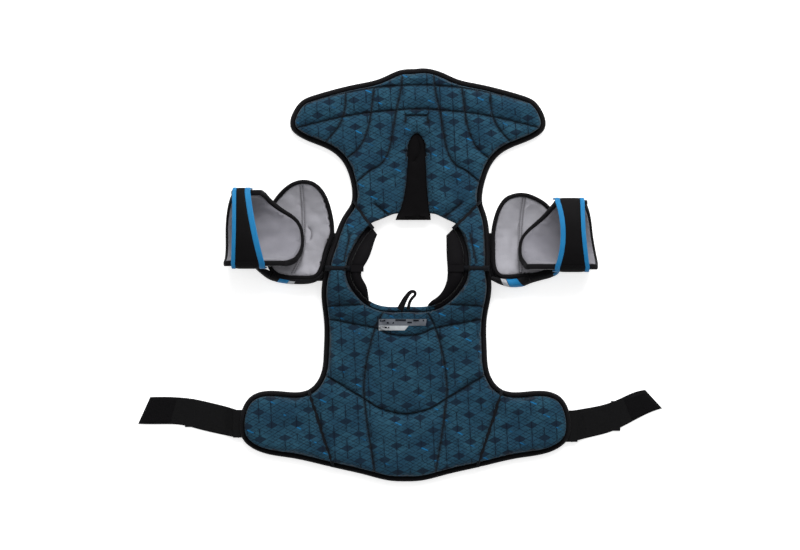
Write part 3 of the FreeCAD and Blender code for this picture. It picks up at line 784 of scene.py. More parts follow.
def woven(name, color, worn):
    """Plain woven nylon with a heavier thread every few millimetres."""
    s = Shader(name)
    uv, x, y = s.flat()
    weave = s.wave(x, 0.7 * MM) * s.wave(y, 0.7 * MM)
    grid = s.most(s.lines(x / (6 * MM), 0.06), s.lines(y / (6 * MM), 0.06))
    share = (weave + grid * 0.6) * s.ramp(s.noise(uv, 30.0, 4.0), 0.1, 0.9)
    return s.finish(s.mix(share, color, worn), 0.72, weave + grid, 0.25 * MM, 0.5, Sheen_Weight=0.02,
                    Specular_IOR_Level=0.12)


def moulded(name, color, worn):
    """Moulded plastic with a fine grain and paler rubbed edges."""
    s = Shader(name)
    where = s.node("ShaderNodeTexCoord", {}, "Object")
    scuff = s.ramp(s.noise(where, 45.0, 5.0, 0.65), 0.55, 0.75)
    edge = s.ramp(s.node("ShaderNodeNewGeometry", {}, "Pointiness"), 0.52, 0.6)
    color = s.mix(s.most(scuff * 0.35, edge * 0.6), color, worn)
    return s.finish(color, scuff * 0.2 + 0.36, s.noise(where, 2600.0), 0.15 * MM, 0.35, Specular_IOR_Level=0.35)


def smooth_knit(name, color, worn, roughness=0.66):
    """Smooth stretch knit over neoprene."""
    s = Shader(name)
    uv, x, y = s.flat()
    loops = s.wave(x + y, 0.9 * MM) * s.wave(x - y, 0.9 * MM)
    tone = s.mix(loops * s.ramp(s.noise(uv, 40.0, 3.0), 0.2, 0.9), color, worn)
    return s.finish(tone, roughness, loops, 0.2 * MM, 0.45, Sheen_Weight=0.02, Specular_IOR_Level=0.1)


def pile(name, color, worn, pitch):
    """Hook or loop tape: a dense field of tiny knots."""
    s = Shader(name)
    cells = s.node("ShaderNodeTexVoronoi", {"Vector": s.flat()[0], "Scale": 1 / pitch}, "Distance")
    return s.finish(s.mix(cells, worn, color), 0.85, 1.0 - cells, 0.5 * MM, 0.8, Specular_IOR_Level=0.1)


MATERIALS = {
    "liner": printed_liner(),
    "mesh": spacer_mesh("spacer_mesh", (164, 163, 170), (147, 146, 152)),
    # a darker copy of the spacer mesh for the guards' insides: painted shade for the band's shadow over them
    "arm_mesh_painted_shade": spacer_mesh("arm_spacer_mesh_painted_shade", (132, 131, 138), (117, 116, 123)),
    "binding": ribbed("binding_tape", (8, 7, 9), (26, 24, 28), 0.9),
    "arm_binding": ribbed("arm_binding_tape", (7, 6, 8), (22, 20, 24), 0.8),
    "elastic": ribbed("ribbed_elastic", (3, 3, 4), (15, 14, 17), 1.5, 0.62, True, 0.03, 0.5),
    "blue": ribbed("blue_tape", (6, 108, 162), (32, 142, 194), 0.8, 0.5, sheen=0.06, shine=0.25),
    "white": ribbed("white_tape", (176, 178, 182), (206, 208, 210), 0.8, 0.5),
    "cover": woven("woven_cover", (9, 9, 11), (28, 28, 32)),
    "seam_tape": woven("seam_tape", (5, 7, 11), (16, 20, 28)),
    "neoprene": smooth_knit("neoprene", (3, 2, 3), (12, 10, 13)),
    "knit": smooth_knit("stretch_knit", (2, 1, 2), (6, 5, 6), 0.85),
    "collar": smooth_knit("collar_knit", (5, 4, 6), (20, 17, 20), 0.78),
    "plastic": moulded("moulded_plastic", (16, 16, 18), (52, 53, 57)),
    "hook": pile("hook_tape", (2, 2, 3), (13, 12, 14), 1.3 * MM),
    "loop": pile("loop_tape", (12, 44, 74), (40, 84, 118), 0.8 * MM),
    "thread": ribbed("black_thread", (3, 4, 7), (12, 14, 18), 0.5),
    "pale_thread": ribbed("grey_thread", (66, 65, 68), (96, 96, 98), 0.5),
    "label": ribbed("silver_label", (92, 96, 104), (128, 132, 138), 0.6, 0.45),
    "label_white": ribbed("white_label", (176, 180, 184), (200, 202, 206), 0.6, 0.45),
    "label_ink": ribbed("label_print", (16, 20, 28), (36, 40, 48), 0.6, 0.5),
}


# ------------------------------------------------------------------ torso
def channels(half_lines, centre, outline):
    """Both copies of each half line, or one line where it starts on the centre line, kept inside the outline."""
    found = []
    for half_line in half_lines:
        right, left = ([Vector((centre + way * x * MM, y * MM)) for x, y in half_line] for way in (1, -1))
        for line in [left[:0:-1] + right] if half_line[0][0] == 0 else [right, left]:
            even = smooth_line(line, 3 * MM) if len(line) > 2 else even_run(line, 3 * MM)
            found.append(clipped(even, outline))
    return found


def slit_narrowed(outline):
    """The chest outline with a slim, rounded slit."""
    widths, heights = zip(*SLIT)
    out = []
    for p in outline:
        y = p.y / MM
        middle = centre_line(y) + SLIT_SHIFT
        half = p.x / MM - middle
        if abs(half) < 30 and 86 < y < 216:
            room = float(np.interp(y, heights, widths))
            half = max(-room, min(room, half))
        out.append(Vector(((middle + half) * MM, p.y)))
    return resample(out, 3.2 * MM, True)


def spread_over_binding(outline, part):
    """The outline, moved out over the binding by LINER_SPREAD where the panel has binding."""
    near = tree_of([p for loop in top_outline(part + "_edge_binding", 1.0 * MM) for p in loop])
    return [p + right_of(heading(outline, i)) * (LINER_SPREAD if gap_to(near, p) < 1.1 * MM else 0.0)
            for i, p in enumerate(outline)]


def torso_pad(part):
    node = part + "_liner_pad"
    outline = top_outline(node, 3.2 * MM)[0]
    if part == "chest":
        outline = slit_narrowed(outline)
    outline = spread_over_binding(outline, part)
    lines = []
    if part == "chest":
        centre = centre_of(node)
        lines = channels(CHEST_CHANNELS, centre, outline)
        box = [Vector((centre + (SLIT_SHIFT + way * x) * MM, y * MM))
               for way, half in ((1, SLIT_BOX), (-1, SLIT_BOX[-2::-1])) for x, y in half]
        lines.append(clipped(resample(box, 3 * MM), outline))
    elif part == "back":
        lines = channels(BACK_CHANNELS, centre_of("back_outer_cover"), outline)
    elif part.endswith("yoke"):
        sign = SIDES[part.split("_")[0]]
        line = points_at([(YOKE_CENTRE + sign * x, y) for x, y in YOKE_CHANNEL])
        lines = [clipped(even_run(line, 3 * MM), outline)]
    column = Column(node)
    return Pad(part + "_liner", outline, column.top, column.bottom, MATERIALS["liner"], lines, rise=LINER_RISE,
               trench=TRENCH_DEPTH, edge=EDGE_DROP)


def bound_runs(outline, node):
    """The stretches of a pad's outline that carry binding tape, and whether they close."""
    near = tree_of([p for loop in top_outline(node, 1.0 * MM) for p in loop])
    marks = [gap_to(near, p) < LINER_SPREAD + 1.1 * MM for p in outline]
    if all(marks):
        return [(outline, True)]
    first = next(i for i in range(len(marks)) if marks[i] and not marks[i - 1])
    runs = [[]]
    for i in range(first, first + len(marks)):
        if marks[i % len(marks)]:
            runs[-1].append(outline[i % len(marks)])
        elif runs[-1]:
            runs.append([])
    return [(run, False) for run in runs if len(run) > 5]


def tape_along(name, line, closed, top, spots):
    """Binding tape outside a flat line that runs with the pad on its left, sewn along its inner edge."""
    path, sewn = [], []
    for i, p in enumerate(line):
        out = right_of(heading(line, i, closed))
        level = UP * (top(p).z + TAPE_LEVEL)
        path.append((p + out * (TAPE_W / 2 - 0.6 * MM)).to_3d() + level)
        sewn.append((p + out * 1.4 * MM).to_3d() + level + UP * (TAPE_H / 2 - 0.5 * MM))
    spots += [((a + b) / 2, (b - a).normalized(), UP) for a, b in zip(sewn, sewn[1:])]
    return sweep(name, path, [UP] * len(line), rounded_section(TAPE_W, TAPE_H), MATERIALS["binding"], closed)


def finish_torso(pads):
    """Liners, covers, binding and stitches. Returns the surface of the back's liner."""
    threads = {body: [] for body in TORSO.values()}
    for part, body in TORSO.items():
        pad = pads[part]
        liner = fit(pad.make(), body, "printed_liner", part + "_liner_pad")
        if part == "back":
            back_skin = Skin(liner)
        threads[body] += pad.seam_spots(0.2 * MM)
        node = part + "_outer_cover"
        column = Column(node)
        cover = Pad(part + "_cover", top_outline(node, 4 * MM)[0], lambda p, h: column.top(p, h - 0.3 * MM),
                    column.bottom, MATERIALS["cover"], step=9 * MM, under=6 * MM, under_r=7 * MM)
        fit(cover.make(), body, "cover_fabric", node)
        node = part + "_edge_binding"
        for number, (line, closed) in enumerate(bound_runs(pad.outline, node)):
            name = part + "_binding" + (f"_{number + 1}" if number else "")
            tape = tape_along(name, line, closed, pad.top_at, threads[body])
            fit(tape, body, "binding_tape", None if number else node)
            if part == "back":
                face_neck(tape)
    for body, spots in threads.items():
        stitches(body + "_stitching", spots, MATERIALS["thread"], body)
    return back_skin


def face_neck(tape):
    """At the back of the neck the liner fabric turns over the edge, in place of tape."""
    mesh = tape.data
    mesh.materials.append(MATERIALS["liner"])
    layer = mesh.uv_layers["flat"].data
    for face in mesh.polygons:
        x, y = face.center.x / MM, face.center.y / MM
        if -44 < x < 52 and -62 < y < -30:
            face.material_index = 1
            for loop in face.loop_indices:
                layer[loop].uv = mesh.vertices[mesh.loops[loop].vertex_index].co[:2]


def fold_gusset(name, bodies, parts, ends, half, rise):
    """Soft filling and fabric in a fold between two panels."""
    outer, inner = points_at(ends)
    across = -right_of((inner - outer).normalized())
    if across.y < 0:
        across.negate()
    tops = [Column(part + "_liner_pad") for part in parts]
    lows = [Column(part + "_outer_cover") for part in parts]
    stations, columns, rows = 21, 8, 4
    around = [(k, 0) for k in range(columns + 1)] + [(columns, r) for r in range(1, rows)]
    around += [(k, rows) for k in range(columns, -1, -1)] + [(0, r) for r in range(rows - 1, 0, -1)]
    end_share = 9 * MM / (inner - outer).length
    rings, uv = [], []
    for i in range(stations):
        t = i / (stations - 1)
        beyond = max(0.0, abs(t - 0.5) - 0.5 + end_share) / end_share
        spans = []
        for k in range(columns + 1):
            s = 2 * k / columns - 1
            side = 0 if s < 0 else 1
            reach = outer.lerp(inner, min(max(t, end_share), 1 - end_share)) + across * (s * half if s else 0.1 * MM)
            reach += across * (0.8 * MM if side else -0.8 * MM)
            top = tops[side].top(reach).z + rise * (1 - abs(s) ** 3) - 0.8 * MM * abs(s) ** 3 - 5 * MM * beyond ** 2
            low = lows[side].bottom(reach).z + 0.8 * MM + 3 * MM * beyond ** 2
            spans.append((outer.lerp(inner, t) + across * s * half, top, low))
        ring = []
        for k, r in around:
            p, top, low = spans[k]
            drop = (top - low) * r / rows
            ring.append(Vector((p.x, p.y, top - drop)))
            uv.append((p.x, p.y + drop))
        rings.append(ring)
    piece = tube(name, rings, uv, MATERIALS["seam_tape"])
    middle = outer.lerp(inner, 0.5)
    start, end = middle - across * half * 0.9, middle + across * half * 0.9
    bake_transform(piece)
    fit(piece, None, "cover_fabric")


def folds():
    for side, sign in SIDES.items():
        neck, edge = (-70.5, -112.0) if sign < 0 else (91.5, 134.0)
        chest, wing = ([(centre_line(y) + sign * off, y) for off, y in ends] for ends in (YOKE_SEAM, WING_FOLD))
        own, yoke = side + "_wing", side + "_yoke"
        for name, bodies, parts, ends, half, rise in (
                ("shoulder", ("back", "shoulders"), ("back", yoke), [(edge, RIDGE_Y), (neck, RIDGE_Y)], 4.2, 1.6),
                ("chest", ("shoulders", "chest"), (yoke, "chest"), chest, 2.6, -0.6),
                ("wing", (own, "back"), (own, "back"), wing, 2.4, -1.0)):
            fold_gusset(f"{side}_{name}_fold_gusset", bodies, parts, ends, half * MM, rise * MM)


# ------------------------------------------------------------------ small torso pieces
def simple_pad(node, name, body, kind, slot, step=4 * MM, fill=None, **shape):
    """A piece that stands for a plate-like CAD node, one object for each of the node's solids."""
    column = Column(node)
    for number, outline in enumerate(top_outline(node, min(step, 3 * MM))):
        pad = Pad(name + (f"_{number + 1}" if number else ""), outline, column.top, column.bottom, MATERIALS[kind],
                  step=step, **shape)
        fit(pad.make(), body, slot, None if number else node)


def collar(side):
    """The two collarbone guards of a side."""
    for level, body in (("lower", "back"), ("upper", "shoulders")):
        simple_pad(f"{side}_collar_guard_{level}", f"{side}_{level}_collar_pad", body, "collar", "stretch_knit",
                   fill=0.5, rise=3.5 * MM, cell=7 * MM, edge=2.5 * MM, edge_r=1.4 * MM, under=2.5 * MM,
                   under_r=4 * MM)


def collar_bridge(side):
    """Knit over the fold in the middle of a collarbone guard."""
    node, y = side + "_collar_guard_upper", RIDGE_Y * MM
    rim = [p.x for p in top_outline(node, 2 * MM)[0] if abs(p.y - y) < 2 * MM]
    x0, x1 = min(rim), max(rim)
    z = Column(node).top(((x0 + x1) / 2, y + 1 * MM)).z + 3.3 * MM
    corners = [Vector((x, y + off)) for x, off in ((x0, -5 * MM), (x1, -5 * MM), (x1, 5 * MM), (x0, 5 * MM))]
    bridge(side + "_collar_fold", ("back", "shoulders"), corners, z, 8 * MM, (0, y - 4.5 * MM, 0.03),
           (0, y + 4.5 * MM, 0.03), MATERIALS["collar"])


def cap_web(side):
    """Stretch fabric under the gap between the torso's edge and the cap, sewn to both."""
    sign, seam = SIDES[side], 5 * MM
    covers = ("back_outer_cover", side + "_yoke_outer_cover")
    lows = [Column(node) for node in covers]
    rims = [top_outline(node, 2 * MM)[0] for node in covers]
    cap_low, cap_rim = Column(side + "_cap_shell"), top_outline(side + "_cap_shell", 2 * MM)[0]
    near, far = [], []
    for y in np.arange(-9, 66, 3) * MM:
        part = 0 if y < RIDGE_Y * MM else 1
        torso = [sign * p.x for p in rims[part] if abs(p.y - y) < 3 * MM and sign * p.x > 0]
        cap = [sign * p.x for p in cap_rim if abs(p.y - y) < 3 * MM]
        if torso and cap:
            near.append(lows[part].bottom((sign * (max(torso) - seam), y), 0.4 * MM))
            far.append(cap_low.bottom((sign * (min(cap) + seam), y), 0.4 * MM))
    for p in near + far:
        p.z = max(p.z, 1.8 * MM)
    web = strip(side + "_cap_web", near, far, 1.2 * MM, MATERIALS["cover"])
    joint, reach = joint_spot(side + "_cap_fold"), Vector((sign * 4 * MM, 0, 0))
    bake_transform(web)
    width = sum((a - b).length for a, b in zip(near, far)) / len(near)


def placket():
    """The stretch knit that fills the slit, with a crease along its upper part."""
    heights = [84, 108, 135, 160, 185, 203, 209, 212]
    widths = [float(w) + 1.5 for w in np.interp(heights, [p[1] for p in SLIT], [p[0] for p in SLIT])]
    edges = [points_at([(centre_line(y) + SLIT_SHIFT + way * w, y) for w, y in zip(widths, heights)])
             for way in (1, -1)]
    for edge in edges:
        edge[0].y -= 1.5 * MM
    right, left = (smooth_line(edge, 3 * MM) for edge in edges)
    outline = resample(right + left[::-1], 3 * MM, True)
    x = centre_line(190) + SLIT_SHIFT
    crease = smooth_line(points_at([(x + 2, 204), (x + 4.5, 192), (x + 3, 180), (x - 3, 171)]), 2 * MM)
    column = Column("neck_slit_placket")
    pad = Pad("neck_slit_placket_knit", outline, lambda p, h: column.top(p, h + 3.6 * MM), column.bottom,
              MATERIALS["knit"], [crease], step=3.4 * MM, rise=2.2 * MM, cell=8 * MM, trench=1.6 * MM,
              edge=1.5 * MM, ripple=0.25 * MM)
    fit(pad.make(), "chest", "stretch_knit", "neck_slit_placket")


def label(skin):
    """The plain label: a grey strip over a shorter white one with a slanted end, and plain printed bars."""
    for name, corners, kind, node in (
            ("size_label_strip", [(-32, -76), (38.5, -76), (40, -66), (-32, -66)], "label", "size_label"),
            ("size_label_tab", [(-32, -83), (7, -83), (13, -76), (-32, -76)], "label_white", None)):
        pad = Pad(name, resample(points_at(corners), 3 * MM, True), lambda p, h: skin.top(p, h + 0.7 * MM),
                  lambda p, h: skin.top(p, -0.3 * MM), MATERIALS[kind], step=3.5 * MM, rise=0.15 * MM)
        fit(pad.make(), "back", "label_film", node)
    vertices, faces = [], []
    for x0, x1, y in ((-30, -22, -69.5), (-20, -9, -73), (-7, 9, -69), (11, 18, -72.5), (20, 36, -69.5),
                      (-30, -16, -80)):
        start = len(vertices)
        for corner in points_at([(x0, y), (x1, y), (x1, y + 2.6), (x0, y + 2.6)]):
            vertices += [skin.top(corner, up * MM) for up in (0.6, 1.15)]
        quads = ((0, 6, 4, 2), (1, 3, 5, 7), (0, 2, 3, 1), (2, 4, 5, 3), (4, 6, 7, 5), (6, 0, 1, 7))
        faces += [tuple(start + k for k in quad) for quad in quads]
    fit(make_object("size_label_print", vertices, faces, MATERIALS["label_ink"]), "back")


def hanger():
    """A loop of narrow tape at the back of the neck, lying over to one side."""
    low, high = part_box("hanger_loop")
    z = (low.z + high.z) / 2
    spots = [(0, -52, 2), (4, -43, 4), (9.5, -33, 6), (16, -25.5, 7), (22, -25.5, 6), (22.5, -30, 4.5),
             (18.5, -34.5, 3), (14.5, -41, 2), (12, -52, 0)]
    path = smooth_line([Vector((x * MM, y * MM, z + up * MM)) for x, y, up in spots], 1.2 * MM)
    scale = [float(v) for v in np.interp(np.linspace(0, 1, len(path)), (0.0, 0.35, 0.6, 1.0), (1.5, 1.0, 0.65, 0.7))]
    tape = sweep("hanger_loop_tape", path, [UP] * len(path), rounded_section(6.6 * MM, 1.9 * MM, 3.5, 12),
                 MATERIALS["binding"], closed=False, scale=scale)
    fit(tape, "back", "stretch_knit", "hanger_loop")


def plates():
    for node, body in (("spine_plate", "back"), ("sternum_plate", "chest")):
        simple_pad(node, node + "_moulding", body, "plastic", "hard_plastic", 6 * MM, under=1.6 * MM, under_r=3 * MM)
    for side in SIDES:
        simple_pad(side + "_loop_patch", side + "_loop_tape", "chest", "loop", "loop_tape", 5 * MM, under=0.4 * MM,
                   under_r=1.6 * MM)


# ------------------------------------------------------------------ caps
def cap_pad(side):
    node = side + "_cap_liner"
    outline = top_outline(node, 3 * MM)[0]
    lines = []
    for off in (-1.9, 1.9):
        line = points_at([(x + off, y) for x, y in CAP_SEAMS[side]])
        lines.append(clipped(smooth_line(line, 3 * MM), outline))
    if side == "left":
        lines.append(smooth_line(points_at(CAP_DART), 3 * MM))
    column = Column(node)
    return Pad(side + "_cap_padding", outline, column.top, column.bottom, MATERIALS["mesh"], lines,
               rise=2.2 * MM, cell=14 * MM, trench=1.3 * MM, edge=2 * MM)


def finish_cap(side, pad):
    body = side + "_cap"
    liner = fit(pad.make(), body, "mesh_liner", body + "_liner")
    stitches(side + "_cap_stitching", pad.seam_spots(0.1 * MM), MATERIALS["pale_thread"], body)
    shell, foam, skin = Column(body + "_shell"), Column(body + "_binding"), Skin(liner)
    outline = top_outline(body + "_shell", 3 * MM)[0]
    dome = Pad(side + "_cap_dome", outline, shell.top, shell.bottom, MATERIALS["plastic"], step=6 * MM)
    fit(dome.make(), body, "hard_plastic", body + "_shell")
    path = [p.to_3d() + UP * ((shell.bottom(p).z + foam.top(p).z) / 2 + 0.3 * MM)
            for p in even_out(drawn_in(outline, 2.2 * MM))]
    tape = sweep(side + "_cap_binding_tape", even_out(path, 14), [UP] * len(path),
                 rounded_section(6.4 * MM, 16 * MM, 3.0), MATERIALS["arm_binding"])
    fit(tape, body, "binding_tape", body + "_binding")
    cap_wall(side, shell)
    simple_pad(body + "_strap", side + "_cap_webbing", body, "elastic", "elastic", rise=0.2 * MM, cell=5 * MM,
               under=0.4 * MM, under_r=0.8 * MM)
    base = Pad(side + "_link_base", top_outline(side + "_bicep_link", 3 * MM)[0],
               lambda p, lift: skin.top(p, lift - 1.6 * MM), lambda p, lift=0.0: skin.top(p, -2.8 * MM - lift),
               MATERIALS["elastic"])
    fit(base.make(), body, "elastic", side + "_bicep_link")


def cap_wall(side, shell):
    """The padded black wall that bulges beyond the cap's lower rim, with its coloured patches."""
    body = side + "_cap"
    line, sizes, patches = ROLLS[side]
    flat = smooth_line(points_at(line), 2 * MM)
    lengths = np.cumsum([0.0] + [(q - p).length for p, q in zip(flat, flat[1:])])
    widths = [float(w) * MM for w in np.interp(lengths, np.linspace(0, lengths[-1], len(sizes)), sizes)]
    middles, outs = [], []
    for i, p in enumerate(flat):
        out = right_of(heading(flat, i, False)) * -SIDES[side]
        z = max(shell.bottom(p - out * 9 * MM).z + 7 * MM, 9.4 * MM)
        middles.append(p.to_3d() + UP * z - out.to_3d() * widths[i] / 2)
        outs.append(out.to_3d())

    def at(u, angle, grow=0.0):
        middle, out = (Vector([float(np.interp(u, lengths, [p[k] for p in run])) for k in range(3)])
                       for run in (middles, outs))
        across = math.cos(angle) * (float(np.interp(u, lengths, widths)) / 2 + grow)
        return middle + out.normalized() * across + UP * math.sin(angle) * (8.4 * MM + grow)

    around = 20
    rings = [[at(u, 2 * math.pi * k / around) for k in range(around)] for u in lengths]
    uv = [(u, k * 2.6 * MM) for u in lengths for k in range(around)]
    fit(tube(side + "_cap_wall", rings, uv, MATERIALS["cover"]), body, "cover_fabric", body + "_skirt")
    rows, columns = 10, 8
    for number, (kind, u0, u1, a0, a1, slant) in enumerate(patches):
        rings, uv = [], []
        for i in range(rows + 1):
            angle = a0 + (a1 - a0) * i / rows
            run = [(u0 + (u1 - u0) * k / columns + slant * (angle - a0)) * MM for k in range(columns + 1)]
            rings.append([at(u, angle, 0.45 * MM) for u in run] + [at(u, angle, -0.3 * MM) for u in run[::-1]])
            uv += [(u, angle * 8 * MM) for u in run + run[::-1]]
        patch = tube(f"{side}_cap_wall_patch_{number + 1}", rings, uv, MATERIALS[kind])
        fit(patch, body, "blue_trim" if kind == "blue" else "cover_fabric")


# ------------------------------------------------------------------ bicep guards
def guard_pad(side, arm):
    shrink = arm.inner_r / arm.outer_r
    outline = resample([Vector((p.x, p.y * shrink)) for p in drawn_in(arm.rim, 3.4 * MM)], 3 * MM, True)
    return Pad(side + "_bicep_padding", outline, lambda p, lift: arm.at(p, arm.inner_r - lift, arm.inner_r),
               lambda p, lift=0.0: arm.at(p, arm.wall_r - 0.2 * MM, arm.inner_r), MATERIALS["arm_mesh_painted_shade"],
               step=5 * MM, rise=1.6 * MM, cell=12 * MM, edge=1.6 * MM)


def finish_guard(side, arm, pad):
    body = side + "_bicep"
    fit(pad.make(), body, "mesh_liner", body + "_liner")
    dome = Pad(side + "_bicep_moulding", arm.rim, lambda p, lift: arm.at(p, arm.wall_r, arm.outer_r),
               lambda p, lift=0.0: arm.at(p, arm.outer_r + lift, arm.outer_r), MATERIALS["plastic"], step=6 * MM)
    fit(dome.make(), body, "hard_plastic", body + "_shell")
    flat = drawn_in(arm.rim, 1.9 * MM)
    path = [arm.at(p, arm.outer_r - 4.2 * MM, arm.outer_r) for p in flat]
    tape = sweep(side + "_bicep_binding_tape", path, [arm.radial(p) for p in flat],
                 rounded_section(5.8 * MM, 8 * MM, 3.0), MATERIALS["arm_binding"])
    fit(tape, body, "binding_tape", body + "_binding")


# ------------------------------------------------------------------ arm bands
def band_edges(arm, node):
    """The far (low x) and near (high x) edge of a band node as functions x(y), before the guard's tilt."""
    points = arm.level(mesh_arrays(node)[0])
    ys = points[:, 1]
    bands = np.linspace(ys.min(), ys.max() + 1e-6, 9)
    chosen = [points[(ys >= a) & (ys < b)] for a, b in zip(bands, bands[1:])]
    chosen = [part for part in chosen if len(part)]
    where = [part[:, 1].mean() for part in chosen]
    curves = [np.poly1d(np.polyfit(where, [pick(part[:, 0]) for part in chosen], 2)) for pick in (np.min, np.max)]
    return [lambda y, curve=curve: curve(min(max(y, where[0]), where[-1])) for curve in curves]


def band(side, arm):
    """The black band over the arm, its blue edges, and the sewn end on the guard."""
    guard, cuff = side + "_bicep", side + "_arm_band"
    points, anchor = (arm.level(mesh_arrays(node)[0]) for node in (cuff, cuff + "_anchor"))
    low_y, high_y = anchor[:, 1].min(), points[:, 1].max()
    leg_z, knee_z, crown_z = anchor[:, 2].min(), anchor[:, 2].max(), points[:, 2].max()
    inner_far, inner_near = band_edges(arm, cuff)
    outer_far, outer_near = band_edges(arm, cuff + "_edging")
    thick = 2.4 * MM
    middle = (low_y + high_y) / 2
    half = (high_y - low_y) / 2 - thick / 2
    rise = crown_z - thick / 2 - knee_z
    leg = [Vector((-half, leg_z)), Vector((-half, knee_z - 6 * MM)), Vector((-half + 0.5 * MM, knee_z - 1 * MM))]
    arch = [Vector((-half + 2 * half * k / 16, knee_z + rise * (1 - abs(k / 8 - 1) ** 2.4))) for k in range(1, 16)]
    route = smooth_line(leg + arch + [Vector((-p.x, p.y)) for p in leg[::-1]], 3 * MM)
    split = next(i for i, p in enumerate(route) if p.y > knee_z - 0.8 * MM)
    joint, reach = joint_spot(side + "_arm_band_open"), UP * 4 * MM
    stands_for = {"cloth_base": cuff + "_anchor", "cloth": cuff, "far_edge": cuff + "_edging"}
    for name, far, near, kind in (("cloth", inner_far, inner_near, "neoprene"),
                                  ("far_edge", outer_far, inner_far, "blue"),
                                  ("near_edge", inner_near, outer_near, "blue")):
        slot, swell = ("blue_trim", 0.7 * MM) if kind == "blue" else ("neoprene", 0.0)
        edges, material = (middle, far, near), MATERIALS[kind]
        knee = ribbon(f"{side}_band_{name}_knee", route[split - 3:split + 4], edges, thick + 1.5 * MM, arm, material)
        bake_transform(knee)
        for stretch, body, end in ((route[:split + 1], guard, "_base"), (route[split:], cuff, "")):
            piece = ribbon(f"{side}_band_{name}{end}", stretch, edges, thick + swell, arm, material)
            fit(piece, body, slot, stands_for.get(name + end))


def ribbon(name, route, edges, thick, arm, material, columns=8):
    """A strip of sheet along a (y, z) route. The edges are the route's middle y and two edge curves x(y)."""
    middle, far, near = edges
    rings, uv, run = [], [], 0.0
    for i, p in enumerate(route):
        normal = -right_of(heading(route, i, False))
        if i:
            run += (p - route[i - 1]).length
        y = middle + p.x
        ring = []
        for side, order in ((1, range(columns + 1)), (-1, range(columns, -1, -1))):
            for k in order:
                t = k / columns
                q = p + normal * side * thick / 2 * ((1 - (2 * t - 1) ** 8) * 0.5 + 0.5)
                x = far(y) + (near(y) - far(y)) * t
                ring.append(arm.spin @ Vector((x, middle + q.x, q.y)))
                uv.append((x, run))
        rings.append(ring)
    return tube(name, rings, uv, material)


# ------------------------------------------------------------------ waist straps
def strap(side):
    sign, wing, elastic, tip = SIDES[side], side + "_wing", side + "_waist_strap", side + "_strap_tip"
    for node, name, body, kind, slot, swell in (
            (elastic, "_strap_elastic", elastic, "elastic", "elastic", 0.5 * MM),
            (tip, "_strap_end", tip, "elastic", "elastic", 0.5 * MM),
            (side + "_strap_hook", "_hook_patch", tip, "hook", "hook_tape", 0.0)):
        fit(flat_ribbon(node, side + name, MATERIALS[kind], swell), body, slot, node)
    column = Column(elastic)
    rim = top_outline(elastic, 2 * MM)[0]
    for joint, bodies, reach, probe in ((elastic + "_fold", (wing, elastic), (13, 9), 4),
                                        (tip + "_fold", (elastic, tip), (7, 7), -4)):
        x = joint_spot(joint).x
        near = [p.y for p in rim if abs(p.x - x) < 6 * MM]
        low, high = min(near) - 0.2 * MM, max(near) + 0.2 * MM
        x0, x1 = x - sign * reach[0] * MM, x + sign * reach[1] * MM
        corners = [Vector(p) for p in ((x0, low), (x1, low), (x1, high), (x0, high))]
        z = column.top((x + sign * probe * MM, (low + high) / 2)).z + 0.7 * MM
        bridge(joint + "_elastic", bodies, corners, z, 3.4 * MM, (x - sign * 4 * MM, 0, 0),
               (x + sign * 4 * MM, 0, 0), MATERIALS["elastic"])


def flat_ribbon(node, name, material, swell, columns=26):
    """A strip over a four-cornered CAD strip, with a slight crown and raised edges."""
    loop = upper_loops(node)[0]
    corners = sorted(sorted(range(len(loop)), key=lambda i: -turn_at(loop, i))[:4])
    sides = [[loop[i % len(loop)] for i in range(a, b + 1)]
             for a, b in zip(corners, corners[1:] + [corners[0] + len(loop)])]
    lengths = [sum((q - p).length for p, q in zip(s, s[1:])) for s in sides]
    first = 0 if lengths[0] + lengths[2] > lengths[1] + lengths[3] else 1
    count = max(4, round(lengths[first] / (2.5 * MM)))
    one, two = even_run(sides[first], lengths[first] / count), even_run(sides[first + 2], lengths[first + 2] / count)
    column = Column(node)
    rings, uv, run = [], [], 0.0
    for i, (a, b) in enumerate(zip(one, two[::-1])):
        run += (a - one[i - 1]).length if i else 0.0
        ease = min(1.0, i / 3, (len(one) - 1 - i) / 3)
        upper, lower = [], []
        for k in range(columns + 1):
            t, rim = k / columns, k in (0, columns)
            crown = swell * (0.4 * math.sin(math.pi * t) + 0.6 * math.sin(10 * math.pi * t) ** 2)
            crown = crown * ease - 0.5 * MM * (1 - ease)
            upper.append(column.top(a.lerp(b, -0.02 + 1.04 * t), crown - (0.5 * MM if rim else 0.0)))
            lower.append(column.bottom(a.lerp(b, t), -0.4 * MM if rim else 0.0))
        rings.append(upper + lower[::-1])
        row = [(run, k / columns * (b - a).length) for k in range(columns + 1)]
        uv += row + row[::-1]
    return tube(name, rings, uv, material)


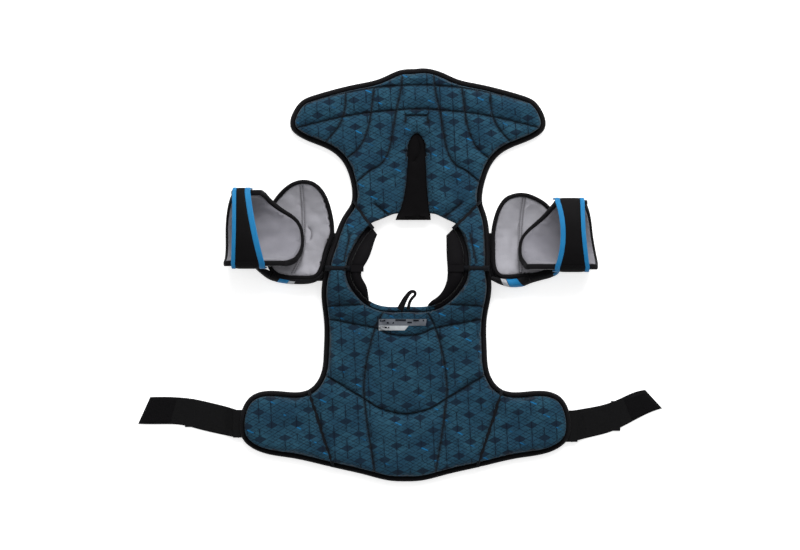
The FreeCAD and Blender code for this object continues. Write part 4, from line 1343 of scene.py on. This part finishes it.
# ------------------------------------------------------------------ stage
def stage():
    white = bpy.data.materials.new("floor_white")
    white.use_nodes = True
    surface = white.node_tree.nodes["Principled BSDF"]
    for key, value in (("Base Color", (0.86, 0.86, 0.86, 1)), ("Roughness", 0.9), ("Emission Color", (1, 1, 1, 1)),
                       ("Emission Strength", 0.6)):
        surface.inputs[key].default_value = value
    half, z = 8.0, -0.3 * MM
    make_object("floor", [(-half, -half, z), (half, -half, z), (half, half, z), (-half, half, z)],
                         [(0, 1, 2, 3)], white)

    world = bpy.data.worlds.new("studio")
    world.use_nodes = True
    world.node_tree.nodes["Background"].inputs["Color"].default_value = (1, 1, 1, 1)
    world.node_tree.nodes["Background"].inputs["Strength"].default_value = 0.36
    scene = bpy.context.scene
    scene.world = world
    for name, place, size, power in (("key", (0.35, 2.0, 1.9), 2.0, 92), ("fill", (-0.2, 0.3, 2.8), 2.4, 16)):
        lamp = bpy.data.lights.new(name, "AREA")
        lamp.size = size
        lamp.energy = power
        holder = bpy.data.objects.new(name, lamp)
        holder.location = place
        holder.rotation_euler = (-Vector(place)).to_track_quat("-Z", "Y").to_euler()
        scene.collection.objects.link(holder)

    camera = bpy.data.cameras.new("camera")
    distance, view_width = 6.0, 1.2
    camera.sensor_width = 36.0
    camera.lens = camera.sensor_width * distance / view_width
    holder = bpy.data.objects.new("camera", camera)
    holder.location = (0.0, 0.0, distance + 0.03)
    scene.collection.objects.link(holder)
    scene.camera = holder
    scene.view_settings.view_transform = "Standard"


stage()
torso_pads = {part: torso_pad(part) for part in TORSO}
arms = {side: Arm(side) for side in SIDES}
cap_pads = {side: cap_pad(side) for side in SIDES}
guard_pads = {side: guard_pad(side, arms[side]) for side in SIDES}
simulate([*torso_pads.values(), *(pads[side] for side in SIDES for pads in (cap_pads, guard_pads))])
back_skin = finish_torso(torso_pads)
folds()
for piece_of in (collar, collar_bridge):
    for side in SIDES:
        piece_of(side)
placket()
label(back_skin)
hanger()
plates()
for side in SIDES:
    finish_cap(side, cap_pads[side])
    cap_web(side)
    finish_guard(side, arms[side], guard_pads[side])
    band(side, arms[side])
    strap(side)
